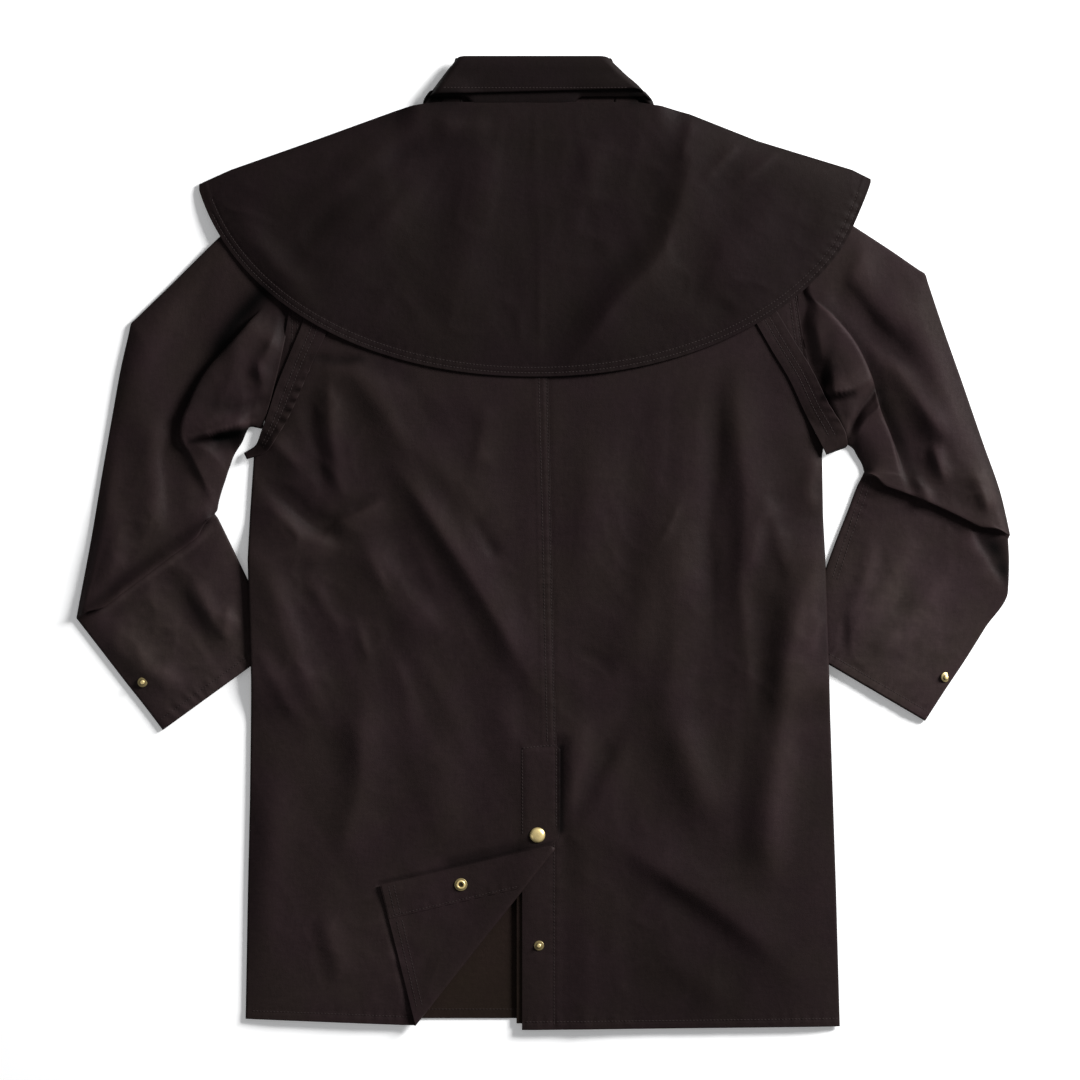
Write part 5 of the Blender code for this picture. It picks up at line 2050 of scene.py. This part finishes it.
LEFT_STRAP = table(
    StrapRow,
    ((-233, 247), 0, (-209, 236), 0),
    ((-240, 221), 0, (-216, 211), 0),
    ((-253, 189), 0, (-230, 181), 0),
    ((-266, 157), 0.4, (-243, 150), 0.4),
    ((-274, 132), 1.2, (-254, 126), 2.0),
    ((-281, 113), 1.6, (-265, 107), 4.4),
    ((-287, 98), 0.6, (-278, 90), 4.4),
    ((-299, 90), -1.0, (-296, 84), 2.0),
)
RIGHT_STRAP = table(
    StrapRow,
    ((202, 238), 0, (222, 251), 0),
    ((213, 219), 0, (233, 232), 0),
    ((228, 193), 0.0, (249, 205), 0.6),
    ((246, 163), 0.1, (268, 174), 2.8),
    ((261, 131), 0.5, (284, 141), 4.6),
    ((278, 98), 4.2, (303, 106), 6.4),
    ((282, 90), 4.4, (304, 98), 4.6),
    ((283, 88), 1.4, (302, 95), 1.4),
)


@dataclass
class Strap:
    """A strap that holds the cape down and passes under the arm.

    Attributes:
        side: Which strap.
        rows: Its rows, from under the cape down.
        ruffle: Height of the ruffles of its right edge.
        finishes: Materials.
    """

    side: Side
    rows: tuple[StrapRow, ...]
    ruffle: float
    finishes: Finishes

    def build(self) -> Piece:
        """Makes the strap with two rows of sewing along its middle.

        Returns:
            The piece.
        """
        ends = np.array([[(*row.left, row.left_raised), (*row.right, row.right_raised)] for row in self.rows], float)
        rows = soft_rows(ends, STRAP_STEP)
        across = graded_share(STRAP_WIDTH, STRAP_STEP)[None, :, None]
        flat = mix(rows[:, :1], rows[:, 1:], across)
        x, y, raised = flat[..., 0], flat[..., 1], flat[..., 2]
        held_x = np.clip(x, FORM.side_edge(Side.LEFT, y), FORM.side_edge(Side.RIGHT, y))
        z = np.maximum(FORM.back(held_x, y) + LAYER + raised, LAYER)
        sewn = tuple(as_path(mix(rows[8:-9:6, 0, :2], rows[8:-9:6, 1, :2], share)) for share in (0.39, 0.61))
        wave = np.sin(y / 1.9 + 1.3 * np.sin(y / 11)) * smooth((y - 100) / 14) * smooth((172 - y) / 14)
        ruffle = self.ruffle * (0.6 + wave) * smooth((across[..., 0] - 0.6) / 0.4) * (y < 172)
        z = z + sewn_dip(sewn, x, y, 0.3) + ruffle
        side = self.side.name.lower()
        sheet = Sheet("cape_strap_" + side, Slot.OILSKIN, Cut(0.027, 0.17, 0.0039, ("back_" + side,)), rows=sewn)
        return sheet.build([stack(x, y, z)[::-1]], self.finishes.oilskin, self.finishes.thread)


@dataclass
class Collar:
    """One band of the collar, across the back of the neck and rolled under at each side.

    Attributes:
        node: CAD node that it stands for.
        profile: Its rows' (y, z) from the free edge to the fold.
        cut: Its flat cut.
        lift: Height that its free edge gains at each end, and how far it slants up to the right.
        open_ends: Whether its foot is drawn up at both sides of the neck.
        finishes: Materials.
        corner: Least reach of the rolled ends, which keeps the corners at the fold crisp.
    """

    node: str
    profile: tuple[Point, ...]
    cut: Cut
    lift: float
    open_ends: bool
    finishes: Finishes
    corner: float = 0.0

    SIDES = {Side.LEFT: ((-85, 486), (-120, 440)), Side.RIGHT: ((64, 487), (107, 442))}

    def build(self) -> Piece:
        """Makes the band.

        Returns:
            The piece.
        """
        knots = np.array([[(0, *row)] for row in self.profile], float)
        rows = soft_rows(knots, COLLAR_STEP)[:, 0]
        y, z = rows[:, 1:2], rows[:, 2:3]
        left, right = self.rolled(Side.LEFT, y, z), self.rolled(Side.RIGHT, y, z)
        share = np.linspace(0, 1, round(180 / SPACING))[None, 1:-1]
        x = mix(self.fold_x(Side.LEFT, y), self.fold_x(Side.RIGHT, y), share)
        points = np.concatenate([left[:, ::-1], stack(x, y, z), right], axis=1)
        if self.open_ends:
            beside = smooth((-68 - points[..., 0]) / 10) + smooth((points[..., 0] - 28) / 10)
            raised = STAND_DRAW * beside * smooth((455 - points[..., 1]) / 14) * (points[..., 2] > COLLAR_AXIS)
            points[..., 1] += raised
        loose = smooth((self.profile[0][0] + 22 - points[..., 1]) / 20) * (points[..., 2] > COLLAR_AXIS + 1)
        wave = 0.5 + 0.5 * ripple(points[..., 0], points[..., 1], 34, 31)
        ends = self.lift * (smooth((points[..., 0] - 20) / 60) + smooth((-55 - points[..., 0]) / 40))
        points[..., 2] += loose * (wave + ends)
        points[..., 1] += loose * self.lift * (points[..., 0] + 14) / 95
        row = tuple((px, self.profile[0][0] + COLLAR_SEWING_INSET) for px in np.linspace(-100, 84, 40))
        tone, sewn = (STAND_PAINTED_SHADE, ()) if self.open_ends else (FALL_TONE, (row,))
        sheet = Sheet(self.node, Slot.OILSKIN, self.cut, tone=tone, rows=sewn)
        return sheet.build([points], self.finishes.oilskin, self.finishes.thread)

    def slant(self, side: Side) -> tuple[Array, Array]:
        """The line about which one end is rolled under.

        Args:
            side: Which end.

        Returns:
            A point on the line and its outward direction.
        """
        top, foot = (np.array(item, float) for item in self.SIDES[side])
        run = (foot - top) / np.linalg.norm(foot - top)
        out = np.array((run[1], -run[0])) * -side.value
        return top - out * COLLAR_AXIS, out

    def fold_x(self, side: Side, y: Array) -> Array:
        """Where one end's roll starts, as x at the rows' y."""
        start, out = self.slant(side)
        return start[0] - (y - start[1]) * out[1] / out[0]

    def rolled(self, side: Side, y: Array, z: Array) -> Array:
        """The end that is rolled under.

        Args:
            side: Which end.
            y: Rows' y.
            z: Rows' height before the roll.

        Returns:
            Points from the roll's start to the leaf's end.
        """
        out = self.slant(side)[1]
        roll = math.pi * COLLAR_AXIS
        past = np.concatenate([np.linspace(0, roll, 22), roll + COLLAR_LEAF * np.linspace(0, 1, 22)[1:]])[None, :]
        angle = np.clip(past / COLLAR_AXIS, 0, math.pi)
        reach = np.maximum(z - COLLAR_AXIS, self.corner) * np.sin(angle) - np.maximum(past - roll, 0)
        flat_x = self.fold_x(side, y) + past / out[0]
        foot_x, foot_y = flat_x - past * out[0], y - past * out[1]
        height = COLLAR_AXIS + (z - COLLAR_AXIS) * np.cos(angle)
        return stack(foot_x + reach * out[0], foot_y + reach * out[1], height)


class SnapKind(Enum):
    """Kinds of snap part.

    Each has its base's radius and height, its top's (inward, upward) steps and its tone by radius, which paints shade
    into its bore, rings and rim.
    """

    CAP = (
        7.7,
        0.6,
        ((0.25, 0.25), (0.45, 0.45), (1.2, 1.0), (2.0, 0.62), (2.0, 0.22), (1.2, 0.04)),
        Line((0, 3, 6, 7, 7.7), (0.85, 1, 0.95, 0.6, 0.35)),
    )
    SOCKET = (
        6.4,
        0.5,
        ((0.3, 0.3), (1.5, 0.1), (0.3, 0.7), (0.3, 0.25), (0.6, 0.1), (0.5, -0.1), (0.3, -1.1), (0.8, -0.05)),
        Line((0, 2.4, 2.7, 4.3, 4.6, 6.4), (0.03, 0.06, 1, 1, 0.35, 0.3)),
    )
    STUD = (
        5.0,
        0.4,
        ((0.25, 0.25), (1.2, 0.2), (0.9, 0.15), (0.5, 0.2), (0.3, 0.9), (-0.2, 0.5), (0.4, 0.5), (0.8, 0.2)),
        Line((0, 1.9, 2.3, 3.2, 3.8, 5.0), (1, 1, 0.12, 0.2, 0.4, 0.2)),
    )


@dataclass
class Snap:
    """A brass snap part on the cloth.

    Attributes:
        node: CAD node that it stands for.
        kind: Which part.
        place: Where it lies.
        tilt: Tilt about y, in degrees.
        brass: Its material.
    """

    node: str
    kind: SnapKind
    place: Point
    tilt: float
    brass: Material

    def build(self, host: Piece) -> Piece:
        """Makes the part on its host cloth.

        Args:
            host: The cloth that it lies on.

        Returns:
            The piece.
        """
        radius, height, steps, shade = self.kind.value
        bpy.ops.object.select_all(action="DESELECT")
        bpy.ops.mesh.primitive_cylinder_add(
            vertices=SNAP_SIDES, radius=radius * MM, depth=height * MM, location=(0, 0, height * MM / 2)
        )
        piece = bpy.context.object
        piece.name = self.node + "_brass"
        bpy.ops.object.transform_apply(location=True, rotation=True, scale=True)
        bpy.ops.object.mode_set(mode="EDIT")
        bpy.ops.mesh.select_all(action="DESELECT")
        body = bmesh.from_edit_mesh(piece.data)
        for face in body.faces:
            face.select_set(face.normal.z > 0.9)
        bmesh.update_edit_mesh(piece.data)
        for inward, upward in steps:
            if inward < 0:
                bpy.ops.mesh.extrude_region_move(TRANSFORM_OT_translate={"value": (0, 0, upward * MM)})
                wide = 1 - inward * 3 / radius
                bpy.ops.transform.resize(value=(wide, wide, 1))
            else:
                bpy.ops.mesh.inset(thickness=inward * MM, depth=upward * MM)
        bpy.ops.object.mode_set(mode="OBJECT")
        bpy.ops.object.shade_smooth()
        soften = piece.modifiers.new("Soften", "BEVEL")
        soften.width = SNAP_BEVEL * MM
        soften.segments = 2
        soften.limit_method = "ANGLE"
        bpy.ops.object.modifier_apply(modifier="Soften")
        # Painted shade: the tone darkens the bore, the rings and the rim by radius.
        tone = piece.data.attributes.new("tone", "FLOAT", "POINT")
        tone.data.foreach_set("value", [float(shade(math.hypot(v.co.x, v.co.y) / MM)) for v in piece.data.vertices])
        tree = BVHTree.FromObject(host, bpy.context.evaluated_depsgraph_get())
        tops = []
        for turn in np.linspace(0, 2 * math.pi, 12, endpoint=False):
            x, y = self.place[0] + 0.8 * radius * math.cos(turn), self.place[1] + 0.8 * radius * math.sin(turn)
            hit = tree.ray_cast(Vector((x * MM, y * MM, RAY_START)), DOWN)[0]
            if hit is not None:
                tops.append(hit.z)
        piece.rotation_euler = (0, math.radians(self.tilt), 0)
        piece.location = (self.place[0] * MM, self.place[1] * MM, float(np.mean(tops)) + SNAP_LIFT)
        bpy.ops.object.transform_apply(location=True, rotation=True, scale=True)
        piece.data.materials.clear()
        piece.data.materials.append(self.brass)
        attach(piece, "root")
        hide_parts(self.node)
        LOG.info("%s: on %s", piece.name, host.name)
        return piece


@dataclass(frozen=True)
class Lamp:
    """A soft area lamp that points at the coat.

    Attributes:
        name: Its name.
        place: Its place in metres.
        size: Width of its square in metres.
        power: Power in watts.
    """

    name: str
    place: tuple[float, float, float]
    size: float
    power: float

    def build(self) -> None:
        """Adds the lamp."""
        light = bpy.data.lights.new(self.name, "AREA")
        light.size = self.size
        light.energy = self.power
        item = add_object(self.name, light)
        item.location = self.place
        item.rotation_euler = (-Vector(self.place)).to_track_quat("-Z", "Y").to_euler()


@dataclass
class Studio:
    """Floor, light and the camera that looks straight down.

    Attributes:
        finishes: Materials.
        distance: Camera's height in metres.
        view: Width of the picture at the floor, in metres.
        aim: Where the camera looks on the floor, in metres.
        sky: Colour of the light from all round.
        ambient: Strength of that light.
    """

    finishes: Finishes
    distance: float = 5.0
    view: float = 1.08
    aim: Point = (-0.003, 0.003)
    sky: Colour = (0.95, 0.97, 1.0, 1)
    ambient: float = 0.17

    def build(self) -> None:
        """Makes the stage."""
        bpy.ops.object.select_all(action="DESELECT")
        bpy.ops.mesh.primitive_plane_add(size=FLOOR_SIZE, location=(0, 0, FLOOR_LEVEL))
        floor = bpy.context.object
        floor.name = "floor"
        bpy.ops.object.transform_apply(location=True, rotation=True, scale=True)
        floor.data.materials.append(self.finishes.floor)
        Lamp("key", (3.0, 1.75, 1.55), 1.2, 350).build()
        Lamp("fill", (-3.0, -1.2, 2.0), 2.0, 12).build()
        world = bpy.data.worlds.new("studio")
        world.use_nodes = True
        background = world.node_tree.nodes["Background"]
        background.inputs["Color"].default_value = self.sky
        background.inputs["Strength"].default_value = self.ambient
        bpy.context.scene.world = world
        camera = bpy.data.cameras.new("camera")
        camera.sensor_width = SENSOR
        camera.lens = SENSOR * self.distance / self.view
        item = add_object("camera", camera)
        item.location = (*self.aim, self.distance)
        bpy.context.scene.camera = item
        bpy.context.scene.view_settings.view_transform = "Standard"


LEFT_CUFF_ROWS = (((-383, -177), (-330, -138.5), (-262, -89)),)
RIGHT_CUFF_ROWS = (
    ((385, -168.5), (330, -136.5), (256, -93)),
    ((323, 65), (306, 16), (289, -35)),
    ((328, 63), (311, 15), (294, -36)),
)


def main() -> None:
    """Builds the coat piece by piece, then its stage."""
    logging.basicConfig(level=logging.INFO, format="%(name)s: %(message)s")
    finishes = Finishes()
    pieces = Fronts(finishes).build()
    pieces.update(BackPanels(finishes).build())
    for side, *sizes in (
        (Side.LEFT, *LEFT_ARM, LEFT_SLEEVE_CREASES, LEFT_CUFF_ROWS, 0.141, (1.9, 12)),
        (Side.RIGHT, *RIGHT_ARM, RIGHT_SLEEVE_CREASES, RIGHT_CUFF_ROWS, 0.144, (5.0, 22)),
    ):
        pieces["sleeve_" + side.name.lower()] = Sleeve(side, *sizes, finishes).build()
    Strap(Side.LEFT, LEFT_STRAP, 1.4, finishes).build()
    Strap(Side.RIGHT, RIGHT_STRAP, 0.5, finishes).build()
    Cape(finishes).build()
    stand = ((436.8, 8.2), (440.6, 9.6), (455, 10.2), (469, 10.2), (477, 9.8), (483, 9.0))
    Collar("collar_stand", stand, Cut(0.45, 0.048, 0.0205, ("cape_back",)), 0.0, True, finishes).build()
    fall = ((450.5, 13.0), (462, 13.3), (474, 13.4), (480, 13.0), (484.4, 11.9), (486.2, 10.4), (485.9, 9.3))
    cut = Cut(0.43, 0.045, 0.017, ("collar_stand",))
    Collar("collar_fall", fall, cut, 2.5, False, finishes, COLLAR_CORNER).build()
    for node, kind, place, tilt, host in (
        ("vent_snap_cap", SnapKind.CAP, (-5.5, -291.5), 0, "back_left"),
        ("vent_snap_socket", SnapKind.SOCKET, (-82, -341), 0, "vent_facing_left"),
        ("vent_snap_stud", SnapKind.STUD, (-4, -402), 0, "back_right"),
        ("cuff_stud_left", SnapKind.STUD, (-400, -139), 0, "sleeve_left"),
        ("cuff_stud_right", SnapKind.STUD, (402, -134), 24, "sleeve_right"),
    ):
        Snap(node, kind, place, tilt, finishes.brass).build(pieces[host])
    Studio(finishes).build()


if __name__ == "__main__":
    main()
